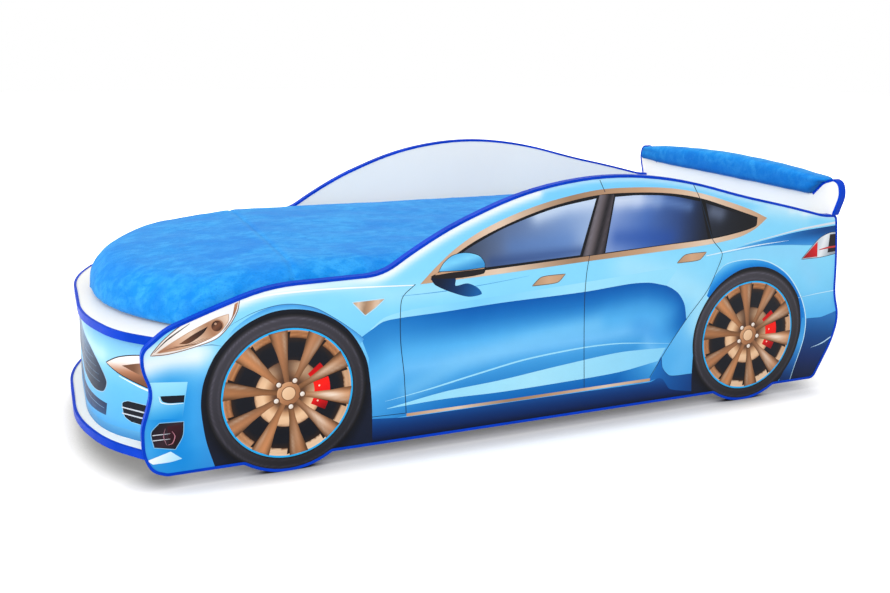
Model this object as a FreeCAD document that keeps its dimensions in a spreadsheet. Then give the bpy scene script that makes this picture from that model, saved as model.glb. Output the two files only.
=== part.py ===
import FreeCAD, Part
import math
import os

# Car bed for children.
#
# Frame: millimetres, +Z up, the floor at Z = 0.  The bed's length runs along X with the nose at -X,
# its width along Y.  The origin is the middle of the bed's outline on the floor.

Vector = FreeCAD.Vector
UP = Vector(0, 0, 1)

# alias: (value, what it is); lengths in mm
SIZES = {
    "wheelbase": (1288, "front axle to rear axle"),
    "nose_reach": (447.5, "from the front axle to the foremost edging"),
    "tail_reach": (317.9, "from the rear axle to the rearmost edging"),
    "wheel_radius": (182.5, "tyre dip of the board, without edging"),
    "floor_press": (0.5, "edging's cap flattened on the floor under each tyre"),
    "board": (16, "thickness of the laminated boards"),
    "bay_width": (808, "clear width between the side panels"),
    "bottom_gap": (33, "side panel's lower edge above the floor"),
    "dip_fillet": (14, "hollow radius beside each tyre dip"),
    "cap": (2.5, "edging: thickness over the board's edge"),
    "lip": (4, "edging: height of the lips on the faces"),
    "lip_wall": (1.2, "edging: thickness of the lips"),
    "stem": (2.2, "edging: thickness of the stem"),
    "stem_depth": (9, "edging: depth of the stem in the groove"),
    "barb": (0.3, "edging: barb's rise on each side of the stem"),
    "barb_tall": (1.5, "edging: barb's length at the stem's root"),
    "groove_play": (0.2, "groove wider than the barbs, each side"),
    "groove_depth": (11, "groove in the board's edge"),
    "seat_gap": (0.15, "edging's cap to the board's edge"),
    "hood_level": (320, "hood shelf's underside"),
    "splitter_level": (67, "splitter shelf's underside"),
    "hood_shelf_back": (-120, "hood shelf's back edge from the front axle"),
    "crossboard_front": (-256, "front crossboard's face from the front axle"),
    "fascia": (3, "thickness of the bent nose sheet"),
    "fascia_play": (0.3, "fascia's play in its grooves, each side"),
    "fascia_groove": (5, "depth of the fascia's grooves"),
    "rear_board_back": (273, "rear board's back face from the rear axle"),
    "rear_board_foot": (90, "rear board's lower edge above the floor"),
    "end_gap": (1.3, "crosswise boards short of the side panels, for the edging's lips"),
    "recess_level": (551, "rear board's top edge under the spoiler"),
    "ear_gap": (0.5, "ear's underside above the side panel's edging"),
    "mattress_thick": (133, "mattress at its crown"),
    "mattress_play": (4, "mattress to each side panel"),
    "mattress_lift": (0.3, "mattress above what it rests on"),
    "seam_x": (25, "cross seam from the front axle"),
    "seam_depth": (2.5, "depth of the cross seam's channel"),
    "rail_wide": (30, "side rail along Y"),
    "rail_tall": (42, "side rail along Z"),
    "rail_front": (-112, "side rail's front end from the front axle"),
    "slat_wide": (68, "lath's width along the bed"),
    "slat_thick": (8, "lath's thickness"),
    "slat_rise": (9, "lath's arch"),
    "slat_count": (13, "number of laths"),
    "slat_tuck": (32, "lath's end inside its holder"),
    "holder_wall": (2.5, "wall of a lath holder"),
    "holder_play": (0.3, "lath's play in its holder"),
    "slat_end_play": (0.9, "lath's end short of its holder's end wall"),
    "peg_radius": (4, "holder's peg"),
    "peg_depth": (10, "holder's peg below the rail's top"),
    "cushion_deep": (62, "spoiler cushion along X"),
    "cushion_tall": (75, "spoiler cushion in the middle"),
    "cushion_end_tall": (50, "spoiler cushion's arch above the recess at the ears"),
    "core_top_pad": (22, "foam above the spoiler core"),
    "core_end": (150, "spoiler core's end from the side panel's outer face"),
    "core_play": (0.3, "foam to the spoiler core"),
    "dowel_radius": (4, "spoiler dowels"),
    "dowel_half": (20, "dowel above or below the recess level"),
    "dowel_inset": (40, "outer spoiler dowels from the core's ends"),
    "dowel_play": (0.3, "dowel in its hole, on the radius"),
    "bracket_leg": (24, "steel angle's leg"),
    "bracket_wide": (18, "steel angle's width"),
    "bracket_wall": (2, "steel angle's thickness"),
    "bracket_hole": (2.3, "steel angle's hole radius"),
    "bracket_reach": (14.4, "steel angle's hole from its corner"),
    "screw_shank": (1.9, "small screws: shank radius"),
    "screw_head": (3.6, "small screws: head radius"),
    "screw_head_tall": (2, "small screws: head height"),
    "screw_bite": (11, "small screws: length in the board"),
    "pilot_play": (0.1, "pilot hole larger than the shank, on the radius"),
    "shelf_screw_shank": (2.5, "shelf screws: shank radius"),
    "shelf_screw_head": (4.6, "shelf screws: head radius"),
    "shelf_screw_head_tall": (3, "shelf screws: head height"),
    "shelf_screw_bite": (34, "shelf screws: length in the crossboard"),
    "shelf_screw_end": (121, "outer shelf screws from the side panels"),
    "rail_screw_pitch": (265, "from one rail screw to the next"),
    "rail_screw_count": (6, "rail screws on each side"),
    "rail_end": (40, "middle of the end laths from the rails' ends"),
    "holder_gap": (2, "lath holders short of the side panels"),
    "peg_in": (16, "peg from its holder's outer end"),
}

# Side outline in control points; the path runs tangent to the middle of each run between them.
# From the front axle, nose corner to the middle of the roof
TOP_FRONT = [(-264, 358), (-161, 396), (-42, 435), (221, 440), (288, 484), (391, 541), (580, 615)]
# From the rear axle, roof to the flat on which the rear board's ear sits
TOP_REAR = [(-485, 647), (-263, 626), (-48, 568), (91, 538), (232, 502)]
NOSE_CORNER = (-292, 335)
REAR_CORNER = (273, 501)
CORNER_RADIUS = 13
FOOT_RADIUS = 22
REAR_EDGE = [(279, 472), (291, 375), (296, 271), (320, 210), (304, 138)]
REAR_FOOT_X = 247
FRONT_FOOT_X = -270
FRONT_EDGE = [(-300, 44), (-319, 82), (-320, 145), (-308, 180), (-297, 226), (-316, 274), (-316, 316)]

# Plan curves of the nose: X from the front axle, Y in from the side panel's outer face
HOOD_CURVE = [(-282, None), (-363, 97), (-425, 254)]
SPLITTER_CURVE = [(-309, None), (-388, 108), (-445, 261)]
FASCIA_CURVE = [(-262, None), (-384, 153), (-417.5, 270)]

# Rear board's ear: Y in from the side panel's outer face, Z from the recess level
EAR = [(-5, -47), (-25, 14), (-8, 55), (38, 37), (52, 22), (72, 0)]
CUSHION_TIP = 20
CUSHION_TIP_THIN = 8
CUSHION_TAPER = 45
CUSHION_STATIONS = [28, 38, 52, 60, 72, 78, 190]
CUSHION_EDGE, CUSHION_SHOULDER = 0.1, 0.36

# Mattress: X of the front's middle from the front axle, and how far its sides sweep back
MATTRESS_APEX_X = -404
MATTRESS_SWEEP = 200
MATTRESS_POWER = 2.2
MATTRESS_SHOULDER = 60
MATTRESS_CROWN = 4
BONNET_DROP = 34
BONNET_BLEND = 900
BONNET_ROUND = 0.66
FOOT_ROUND = 9
BACK_ROUND = 30
SHOULDER_SHARE = 0.95
SEAM_WIDE = 3
SEAM_FOOT = 12
SHOULDER_ANGLES = (90, 72, 50, 25, 0)
FLAT_SHARES = (0.82, 0.62, 0.4, 0.2, 0)

LOW_BRACKETS = (110, 220)

doc = FreeCAD.newDocument("CarBed")


# ---------------------------------------------------------------- sheet

def make_sheet():
    sheet = doc.addObject("Spreadsheet::Sheet", "Sizes")
    for row, (alias, (value, note)) in enumerate(SIZES.items(), start=1):
        sheet.set("A%d" % row, note)
        sheet.set("B%d" % row, str(value))
        sheet.setAlias("B%d" % row, alias)
    doc.recompute()
    return sheet


sheet = make_sheet()


def size(alias):
    return float(sheet.get(alias))


# Sizes that follow from the sheet, as expressions for the objects and as numbers for the outlines
FRONT_AXLE = "((Sizes.nose_reach - Sizes.tail_reach - Sizes.wheelbase) / 2)"
REAR_AXLE = "((Sizes.nose_reach - Sizes.tail_reach + Sizes.wheelbase) / 2)"
PANEL_MIDDLE = "(Sizes.bay_width / 2 + Sizes.board / 2)"
SPLITTER_TOP = "(Sizes.splitter_level + Sizes.board)"
EDGING_WIDTH = "(Sizes.board + 2 * Sizes.lip_wall)"
RAIL_TOP = ("(Sizes.hood_level + Sizes.board - Sizes.slat_rise - Sizes.slat_thick"
            " - Sizes.holder_wall - Sizes.holder_play)")
GROOVE_WIDTH = "(Sizes.stem + 2 * Sizes.barb + 2 * Sizes.groove_play)"

bay_half = size("bay_width") / 2
outer_half = bay_half + size("board")
front_axle = (size("nose_reach") - size("tail_reach") - size("wheelbase")) / 2
rear_axle = front_axle + size("wheelbase")
hood_top = size("hood_level") + size("board")
splitter_top = size("splitter_level") + size("board")
axle_height = size("wheel_radius") + size("cap") - size("floor_press")
rear_back = rear_axle + size("rear_board_back")
rear_front = rear_back - size("board")
crossboard_front = front_axle + size("crossboard_front")
crossboard_back = crossboard_front + size("board")
hood_back = front_axle + size("hood_shelf_back")
mattress_base = hood_top + size("mattress_lift")
recess = size("recess_level")
board_half = bay_half - size("end_gap")
rail_top = hood_top - size("slat_rise") - size("slat_thick") - size("holder_wall") - size("holder_play")


# ---------------------------------------------------------------- tangent paths

class Run:
    """A straight run or an arc of a tangent path in a plane; turn is +1 for an anticlockwise arc."""

    def __init__(self, start, end, centre=None, turn=0):
        self.start = start
        self.end = end
        self.centre = centre
        self.turn = turn

    def shifted(self, distance):
        """The same run moved to the right of its direction of travel."""
        if self.centre is None:
            along = unit(self.end - self.start)
            side = Vector(along.y, -along.x, 0) * distance
            return Run(self.start + side, self.end + side)
        radius = (self.start - self.centre).Length
        scale = (radius + self.turn * distance) / radius
        start = self.centre + (self.start - self.centre) * scale
        end = self.centre + (self.end - self.centre) * scale
        return Run(start, end, self.centre, self.turn)

    def reversed(self):
        return Run(self.end, self.start, self.centre, -self.turn)

    def middle(self):
        """The middle of an arc of under a half circle."""
        radius = (self.start - self.centre).Length
        return self.centre + unit(self.start + self.end - self.centre * 2) * radius

    def curve(self):
        if self.centre is None:
            return Part.LineSegment(self.start, self.end)
        return Part.Arc(self.start, self.middle(), self.end)


def unit(vector):
    return Vector(vector).normalize()


def flat(points):
    return [Vector(across, up, 0) for across, up in points]


def corner(before, at, after, radius):
    """Tangent arc at a control point: as large as half the shorter run allows, or a given radius."""
    back = unit(before - at)
    ahead = unit(after - at)
    half = back.getAngle(ahead) / 2
    if radius is None:
        reach = min((before - at).Length, (after - at).Length) / 2
        radius = reach * math.tan(half)
    else:
        reach = radius / math.tan(half)
    centre = at + unit(back + ahead) * (radius / math.sin(half))
    turn = 1 if (at - before).cross(after - at).z > 0 else -1
    return Run(at + back * reach, at + ahead * reach, centre, turn)


def tangent_path(points, radii=None, closed=False):
    """Runs and arcs through the control points; radii holds a radius by the point's number."""
    radii = radii or {}
    count = len(points)
    numbers = range(count) if closed else range(1, count - 1)
    arcs = [corner(points[n - 1], points[n], points[(n + 1) % count], radii.get(n)) for n in numbers]
    return join(arcs, None if closed else (points[0], points[-1]))


def join(arcs, ends=None):
    """Straight runs between arcs; ends are an open path's first and last points."""
    path = []
    last = ends[0] if ends else arcs[-1].end
    for arc in arcs:
        if (arc.start - last).Length > 1e-6:
            path.append(Run(last, arc.start))
        path.append(arc)
        last = arc.end
    if ends and (ends[1] - last).Length > 1e-6:
        path.append(Run(last, ends[1]))
    return path


def shift(path, distance):
    return [run.shifted(distance) for run in path]


def curves(path):
    return [run.curve() for run in path]


def strip(path, low, high):
    """Closed band beside an open path, from low to high to its right."""
    near = shift(path, low)
    far = [run.reversed() for run in reversed(shift(path, high))]
    ends = [Run(near[-1].end, far[0].start), Run(far[-1].end, near[0].start)]
    return curves(near + ends[:1] + far + ends[1:])


def ring(path, low, high):
    """Closed band beside a closed path: its inner and outer borders."""
    return curves(shift(path, low)) + curves(shift(path, high))


def polygon(points):
    corners = flat(points)
    return [Part.LineSegment(a, b) for a, b in zip(corners, corners[1:] + corners[:1])]


def eight_sided(radius):
    """Corners of an octagon on a circle."""
    angles = [math.pi * (n + 0.5) / 4 for n in range(8)]
    return [(radius * math.cos(angle), radius * math.sin(angle)) for angle in angles]


def holes(centres, radius):
    """Eight-sided holes round circles, which keeps what repeats to few faces."""
    found = []
    for a, b in centres:
        found += polygon([(a + x, b + y) for x, y in eight_sided(radius / math.cos(math.pi / 8))])
    return found


# ---------------------------------------------------------------- document helpers

def new_body(label):
    body = doc.addObject("PartDesign::Body", label)
    body.Label = label
    return body


def new_sketch(body, plane, curve_list, level="0"):
    """Sketch on one of the body's own origin planes, moved along the plane's normal by level."""
    sketch = body.newObject("Sketcher::SketchObject", "Sketch")
    support = [item for item in body.Origin.OriginFeatures if item.Role == plane + "_Plane"][0]
    sketch.AttachmentSupport = (support, [""])
    sketch.MapMode = "FlatFace"
    sketch.setExpression("AttachmentOffset.Base.z", level)
    for curve in curve_list:
        sketch.addGeometry(curve, False)
    return sketch


def pad(body, sketch, length, middle=False):
    feature = body.newObject("PartDesign::Pad", "Pad")
    feature.Profile = sketch
    feature.setExpression("Length", length)
    if middle:
        feature.SideType = "Symmetric"
    doc.recompute()
    return feature


def pocket(body, sketch, length, middle=False, backwards=False):
    """Cuts against the sketch's normal, or along it if backwards is set."""
    before = body.Shape.Volume
    feature = body.newObject("PartDesign::Pocket", "Pocket")
    feature.Profile = sketch
    feature.setExpression("Length", length)
    feature.Reversed = backwards
    if middle:
        feature.SideType = "Symmetric"
    doc.recompute()
    if not body.Shape.Volume < before:
        raise RuntimeError(body.Label + ": a pocket cuts nothing")
    return feature


def place(body, along="0", across="0", up="0"):
    body.setExpression("Placement.Base.x", along)
    body.setExpression("Placement.Base.y", across)
    body.setExpression("Placement.Base.z", up)


def new_group(label, solids):
    """Separate solids that share one node."""
    group = doc.addObject("Part::Feature", label)
    group.Label = label
    group.Shape = Part.makeCompound(solids)
    return group


# ---------------------------------------------------------------- T-profile edging

def edging(label, plane, bands, level="0"):
    """T-profile: cap and lips round the board's edge, stem and barb in its groove.

    bands(low, high) gives the closed band from low to high outside the board's edge, and the
    sketch plane is the middle of the board's thickness.
    """
    body = new_body(label)
    gap = size("seat_gap")
    lip = -size("lip")
    deep = -size("stem_depth")
    cap = new_sketch(body, plane, bands(lip, size("cap")), level)
    pad(body, cap, EDGING_WIDTH, middle=True)
    seat = new_sketch(body, plane, bands(lip, gap), level)
    pocket(body, seat, "Sizes.board", middle=True)
    stem = new_sketch(body, plane, bands(deep, gap), level)
    pad(body, stem, "Sizes.stem", middle=True)
    barb = new_sketch(body, plane, bands(deep, deep + size("barb_tall")), level)
    pad(body, barb, "Sizes.stem + 2 * Sizes.barb", middle=True)
    return body


def edge_groove(body, plane, bands, level="0"):
    """Groove for the stem in a board's edge, in the middle of the board's thickness."""
    sketch = new_sketch(body, plane, bands(-size("groove_depth"), size("cap")), level)
    pocket(body, sketch, GROOVE_WIDTH, middle=True)


# ---------------------------------------------------------------- fasteners

def rod(radius, length, base, along):
    """Eight-sided rod inside a circle, so that it clears the holes for that circle."""
    corners = [Vector(x, y, 0) for x, y in eight_sided(radius)]
    face = Part.Face(Part.makePolygon(corners + corners[:1]))
    turn = FreeCAD.Rotation(Vector(0, 0, 1), along)
    solid = face.extrude(Vector(0, 0, length))
    solid.Placement = FreeCAD.Placement(base, turn)
    return solid


def screw(seat, along, shank, bite, head, head_tall):
    """Screw whose head sits on seat and whose shank runs bite along."""
    body = rod(shank, bite, seat, along)
    return body.fuse(rod(head, head_tall, seat, along * -1)).removeSplitter()


def bracket(inner, first, second):
    """Steel angle in an inside corner; a leg along first lies square to second, and the other way."""
    wall = size("bracket_wall")
    leg = size("bracket_leg")
    wide = size("bracket_wide")
    across = first.cross(second)
    profile = [(0, 0), (leg, 0), (leg, wall), (wall, wall), (wall, leg), (0, leg), (0, 0)]
    base = inner - across * (wide / 2)
    wire = Part.makePolygon([base + first * a + second * b for a, b in profile])
    angle = Part.Face(wire).extrude(across * wide)
    for along, facing in ((first, second), (second, first)):
        hole = inner + along * hole_reach() - facing * wall
        angle = angle.cut(rod(size("bracket_hole"), 3 * wall, hole, facing))
    return angle


def hole_reach():
    """From the angle's corner to the hole in each leg."""
    return size("bracket_reach")


def bracket_pair(inner, first, second):
    """The two screws of one angle."""
    found = []
    for along, facing in ((first, second), (second, first)):
        seat = inner + along * hole_reach() + facing * size("bracket_wall")
        bite = size("screw_bite") + size("bracket_wall")
        found.append(screw(seat, facing * -1, size("screw_shank"), bite, size("screw_head"),
                           size("screw_head_tall")))
    return found


# Inside corners that hold a steel angle: point, leg direction, leg direction
def bracket_places():
    places = []
    for side in (-1, 1):
        inward = Vector(0, -side, 0)
        wall = side * bay_half
        for level in LOW_BRACKETS:
            places.append((Vector(crossboard_back, wall, level), inward, Vector(1, 0, 0)))
            places.append((Vector(rear_front, wall, level), inward, Vector(-1, 0, 0)))
        under = Vector(hood_back - size("bracket_wide"), wall, size("hood_level"))
        places.append((under, inward, Vector(0, 0, -1)))
    return places


def holes_on(face):
    """Pilot hole places of the angles on one board: panel, crossboard, rear or hood."""
    found = []
    for inner, first, second in bracket_places():
        on_wall = inner + second * hole_reach()
        on_board = inner + first * hole_reach()
        if face == "panel" and inner.y > 0:
            found.append((on_wall.x, on_wall.z))
        elif face == "crossboard" and second.x > 0:
            found.append((on_board.y, on_board.z))
        elif face == "rear" and second.x < 0:
            found.append((on_board.y, on_board.z))
        elif face == "hood" and second.z < 0:
            found.append((on_board.x, on_board.y))
    return found


def pilot_holes(body, plane, centres, level, backwards):
    radius = size("screw_shank") + size("pilot_play")
    sketch = new_sketch(body, plane, holes(centres, radius), level)
    pocket(body, sketch, "Sizes.screw_bite + Sizes.pilot_play", backwards=backwards)


# ---------------------------------------------------------------- side panels

def tyre_dip(axle):
    """Hollow fillet, tyre arc and hollow fillet below the panel's lower edge."""
    radius = size("wheel_radius")
    fillet = size("dip_fillet")
    drop = axle_height - size("bottom_gap") + fillet
    reach = math.sqrt((radius + fillet) ** 2 - drop ** 2)
    hub = Vector(axle, axle_height, 0)
    arcs = []
    touches = []
    for side in (-1, 1):
        centre = Vector(axle + side * reach, size("bottom_gap") - fillet, 0)
        touches.append((centre, centre + Vector(0, fillet, 0), hub + unit(centre - hub) * radius))
    (before, enter, down), (after, leave, up) = touches
    arcs.append(Run(enter, down, before, -1))
    arcs.append(Run(down, up, hub, 1))
    arcs.append(Run(up, leave, after, -1))
    return arcs


def side_outline():
    """The panel's outline, anticlockwise with X to the right and Z up."""
    front = [(front_axle + a, b) for a, b in FRONT_EDGE[::-1] + [(FRONT_FOOT_X, size("bottom_gap"))]]
    nose = (front_axle + NOSE_CORNER[0], NOSE_CORNER[1])
    top = [(rear_axle + a, b) for a, b in TOP_REAR[::-1]]
    top += [(front_axle + a, b) for a, b in TOP_FRONT[::-1]]
    rear = [(rear_axle + REAR_FOOT_X, size("bottom_gap"))]
    rear += [(rear_axle + a, b) for a, b in REAR_EDGE[::-1]]
    rear_corner = (rear_axle + REAR_CORNER[0], REAR_CORNER[1])
    middle = ((front_axle + rear_axle) / 2, size("bottom_gap"))
    points = flat([middle] + rear + [rear_corner] + top + [nose] + front + [middle])
    radii = {1: FOOT_RADIUS, len(rear) + 1: CORNER_RADIUS, len(points) - 2: FOOT_RADIUS}
    radii[len(points) - 2 - len(front)] = CORNER_RADIUS
    arcs = [run for run in tangent_path(points, radii) if run.centre is not None]
    return join(tyre_dip(rear_axle) + arcs + tyre_dip(front_axle))


def floor_blocks():
    """What the edging loses where it is pressed flat on the floor under each tyre."""
    radius = size("wheel_radius")
    blocks = []
    for axle in (front_axle, rear_axle):
        near, far = axle - radius / 2, axle + radius / 2
        blocks += polygon([(near, -size("cap")), (far, -size("cap")), (far, 0), (near, 0)])
    return blocks


def build_sides():
    path = side_outline()
    for side, name in ((-1, "left"), (1, "right")):
        across = "%d * %s" % (side, PANEL_MIDDLE)
        panel = new_body("side_panel_" + name)
        pad(panel, new_sketch(panel, "XZ", curves(path)), "Sizes.board", middle=True)
        edge_groove(panel, "XZ", lambda low, high: ring(path, low, high))
        # The sketch plane's normal points to -Y, so the right panel's inner face is half a board up
        face = "%d * Sizes.board / 2" % side
        pilot_holes(panel, "XZ", holes_on("panel") + rail_holes(), face, backwards=side < 0)
        place(panel, across=across)
        trim = edging("side_edging_" + name, "XZ", lambda low, high: ring(path, low, high))
        pocket(trim, new_sketch(trim, "XZ", floor_blocks()), EDGING_WIDTH, middle=True)
        place(trim, across=across)


# ---------------------------------------------------------------- nose

def nose_path(curve, end):
    """Symmetric plan curve across the bed, from the right side's end to the left's."""
    half = [(front_axle + a, end if b is None else outer_half - b) for a, b in curve]
    return tangent_path(flat(half + [(a, -b) for a, b in half[::-1]]))


def shelf(label, curve, back, level):
    """Board with the curved front edge, its groove, and its edging as a separate piece."""
    path = nose_path(curve, board_half)
    rest = [path[-1].end, Vector(back, -board_half, 0), Vector(back, board_half, 0), path[0].start]
    sides = [Run(a, b) for a, b in zip(rest, rest[1:])]
    board = new_body(label)
    pad(board, new_sketch(board, "XY", curves(path + sides)), "Sizes.board")
    edge_groove(board, "XY", lambda low, high: strip(path, low, high), "Sizes.board / 2")
    place(board, up=level)
    trim = edging(label.replace("shelf", "edging"), "XY", lambda low, high: strip(path, low, high))
    pocket(trim, new_sketch(trim, "XY", end_blocks()), EDGING_WIDTH, middle=True)
    place(trim, up=level + " + Sizes.board / 2")
    return board


def end_blocks():
    """What the shelf edging loses beyond the board's square ends."""
    reach = 2 * size("groove_depth")
    blocks = []
    for low, high in ((board_half, board_half + reach), (-board_half - reach, -board_half)):
        near = front_axle + SPLITTER_CURVE[0][0] - reach
        far = front_axle + HOOD_CURVE[0][0] + reach
        blocks += polygon([(near, low), (far, low), (far, high), (near, high)])
    return blocks


def fascia_band(play, longer=0):
    """The bent sheet's section in plan, with play on both sides; longer at both ends."""
    path = nose_path(FASCIA_CURVE, board_half)
    first, last = path[0], path[-1]
    path[0] = Run(first.start - unit(first.end - first.start) * longer, first.end)
    path[-1] = Run(last.start, last.end + unit(last.end - last.start) * longer)
    return strip(path, -size("fascia") - play, play)


def shelf_screw_places():
    middle = (crossboard_front + crossboard_back) / 2
    reach = bay_half - size("shelf_screw_end")
    return [(middle, across) for across in (-reach, 0, reach)]


def build_nose():
    hood = shelf("hood_shelf", HOOD_CURVE, hood_back, "Sizes.hood_level")
    splitter = shelf("splitter_shelf", SPLITTER_CURVE, crossboard_back, "Sizes.splitter_level")
    play = size("fascia_play")
    hood_groove = new_sketch(hood, "XY", fascia_band(play, size("fascia")))
    pocket(hood, hood_groove, "Sizes.fascia_groove", backwards=True)
    splitter_groove = new_sketch(splitter, "XY", fascia_band(play, size("fascia")), "Sizes.board")
    pocket(splitter, splitter_groove, "Sizes.fascia_groove")

    clear = size("shelf_screw_shank") + size("pilot_play")
    sink = size("shelf_screw_head") + size("pilot_play")
    for board, outside, backwards in ((hood, "Sizes.board", False), (splitter, "0", True)):
        through = new_sketch(board, "XY", holes(shelf_screw_places(), clear), outside)
        pocket(board, through, "Sizes.board", backwards=backwards)
        heads = new_sketch(board, "XY", holes(shelf_screw_places(), sink), outside)
        pocket(board, heads, "Sizes.shelf_screw_head_tall + Sizes.pilot_play", backwards=backwards)
    pilot_holes(hood, "XY", holes_on("hood"), "0", backwards=True)

    sheet_body = new_body("nose_fascia")
    pad(sheet_body, new_sketch(sheet_body, "XY", fascia_band(0)),
        "Sizes.hood_level - %s + 2 * (Sizes.fascia_groove - Sizes.fascia_play)" % SPLITTER_TOP)
    place(sheet_body, up="%s - Sizes.fascia_groove + Sizes.fascia_play" % SPLITTER_TOP)

    cross = new_body("front_crossboard")
    outline = [(-bay_half, splitter_top), (bay_half, splitter_top),
               (bay_half, size("hood_level")), (-bay_half, size("hood_level"))]
    pad(cross, new_sketch(cross, "YZ", polygon(outline)), "Sizes.board")
    middle = size("board") / 2
    ends = holes([(middle, spot[1]) for spot in shelf_screw_places()], clear)
    for level, backwards in (("Sizes.hood_level", False), (SPLITTER_TOP, True)):
        pocket(cross, new_sketch(cross, "XY", ends, level), "Sizes.shelf_screw_bite", backwards=backwards)
    pilot_holes(cross, "YZ", holes_on("crossboard"), "Sizes.board", backwards=False)
    place(cross, along=FRONT_AXLE + " + Sizes.crossboard_front")


def build_shelf_screws():
    screws = []
    for x, y in shelf_screw_places():
        down = Vector(0, 0, -1)
        head_tall = size("shelf_screw_head_tall")
        for level, along in ((hood_top, down), (size("splitter_level"), down * -1)):
            seat = Vector(x, y, level) + along * head_tall
            length = size("board") - head_tall + size("shelf_screw_bite") - size("pilot_play")
            screws.append(screw(seat, along, size("shelf_screw_shank"), length,
                                size("shelf_screw_head"), head_tall))
    new_group("shelf_screws", screws)


# ---------------------------------------------------------------- rear board and its ears

def ear_path(side):
    """Edge of one ear, from below the ear's outer corner to the recess, or the other way round."""
    base = REAR_CORNER[1] + size("cap") + size("ear_gap")
    points = [(outer_half - EAR[0][0], base)]
    points += [(outer_half - a, recess + b) for a, b in EAR[1:]]
    if side < 0:
        points = [(-a, b) for a, b in points[::-1]]
    return tangent_path(flat(points))


def build_rear():
    right = ear_path(1)
    left = ear_path(-1)
    base = right[0].start.y
    foot = size("rear_board_foot")
    feet = [Vector(-board_half, base, 0), Vector(-board_half, foot, 0),
            Vector(board_half, foot, 0), Vector(board_half, base, 0)]
    corners = [left[-1].end] + feet + [right[0].start]
    lower = [Run(a, b) for a, b in zip(corners, corners[1:])]
    outline = lower + right + [Run(right[-1].end, left[0].start)] + left

    board = new_body("rear_board")
    pad(board, new_sketch(board, "YZ", curves(outline)), "Sizes.board", middle=True)
    middle = REAR_AXLE + " + Sizes.rear_board_back - Sizes.board / 2"
    for path, name in ((left, "left"), (right, "right")):
        edge_groove(board, "YZ", lambda low, high: strip(path, low, high))
        trim = edging("rear_edging_" + name, "YZ", lambda low, high: strip(path, low, high))
        place(trim, along=middle)
    pilot_holes(board, "YZ", holes_on("rear"), "-Sizes.board / 2", backwards=True)
    dowel_holes = holes([(0, y) for y in dowel_places()], size("dowel_radius") + size("dowel_play"))
    pocket(board, new_sketch(board, "XY", dowel_holes, "Sizes.recess_level"),
           "Sizes.dowel_half + Sizes.dowel_play")
    place(board, along=middle)


# ---------------------------------------------------------------- spoiler

def dowel_places():
    outer = outer_half - size("core_end") - size("dowel_inset")
    return [-outer, 0, outer]


def arch_radius():
    """Radius of the arch through the crown and the two tips."""
    tip = outer_half - CUSHION_TIP
    rise = size("cushion_tall") - size("cushion_end_tall")
    return (tip ** 2 + rise ** 2) / (2 * rise)


def arch_level(across):
    """Top of the spoiler's arch above the floor."""
    radius = arch_radius()
    return recess + size("cushion_tall") - radius + math.sqrt(radius ** 2 - across ** 2)


def core_outline(play):
    """The core board's outline: straight below, arched above."""
    end = outer_half - size("core_end") + play
    top = size("core_top_pad") - play
    corners = [Vector(-end, recess, 0), Vector(end, recess, 0), Vector(end, arch_level(end) - top, 0)]
    far = Vector(-end, arch_level(end) - top, 0)
    lines = [Part.LineSegment(a, b) for a, b in zip(corners, corners[1:])]
    arch = Part.Arc(corners[2], Vector(0, arch_level(0) - top, 0), far)
    return lines + [arch, Part.LineSegment(far, corners[0])]


def soft_section(across, low, high, front, back, edge, shoulder):
    """Closed section square to Y with rounded corners; front and back along X."""
    points = [(front, low), (back, low), (back, high), (front, high)]
    radii = {0: edge, 1: edge, 2: shoulder, 3: shoulder}
    path = tangent_path(flat(points), radii, closed=True)
    return upright_wire(path, across)


def upright_wire(path, across):
    """A wire in the plane square to Y from a path drawn flat."""
    wire = Part.Wire([curve.toShape() for curve in curves(path)])
    wire.rotate(Vector(0, 0, 0), Vector(1, 0, 0), 90)
    wire.translate(Vector(0, across, 0))
    return wire


def cushion_section(across):
    """The spoiler's section: it thins towards its tips and rises over the ears."""
    inward = outer_half - abs(across)
    low = recess + size("core_play")
    for (near, rise), (far, fall) in zip(EAR[2:], EAR[3:]):
        if near <= inward <= far:
            clear = (size("cap") + size("core_play")) * math.hypot(1, (fall - rise) / (far - near))
            low = recess + clear + rise + (fall - rise) * (inward - near) / (far - near)
    high = arch_level(across)
    taper = min(1, (inward - CUSHION_TIP + CUSHION_TIP_THIN) / CUSHION_TAPER)
    half = size("cushion_deep") / 2 * math.sin(taper * math.pi / 2)
    middle = rear_front + size("board") / 2
    tall = high - low
    edge, shoulder = CUSHION_EDGE * tall, CUSHION_SHOULDER * tall
    return soft_section(across, low, high, middle - half, middle + half, edge, shoulder)


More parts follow.
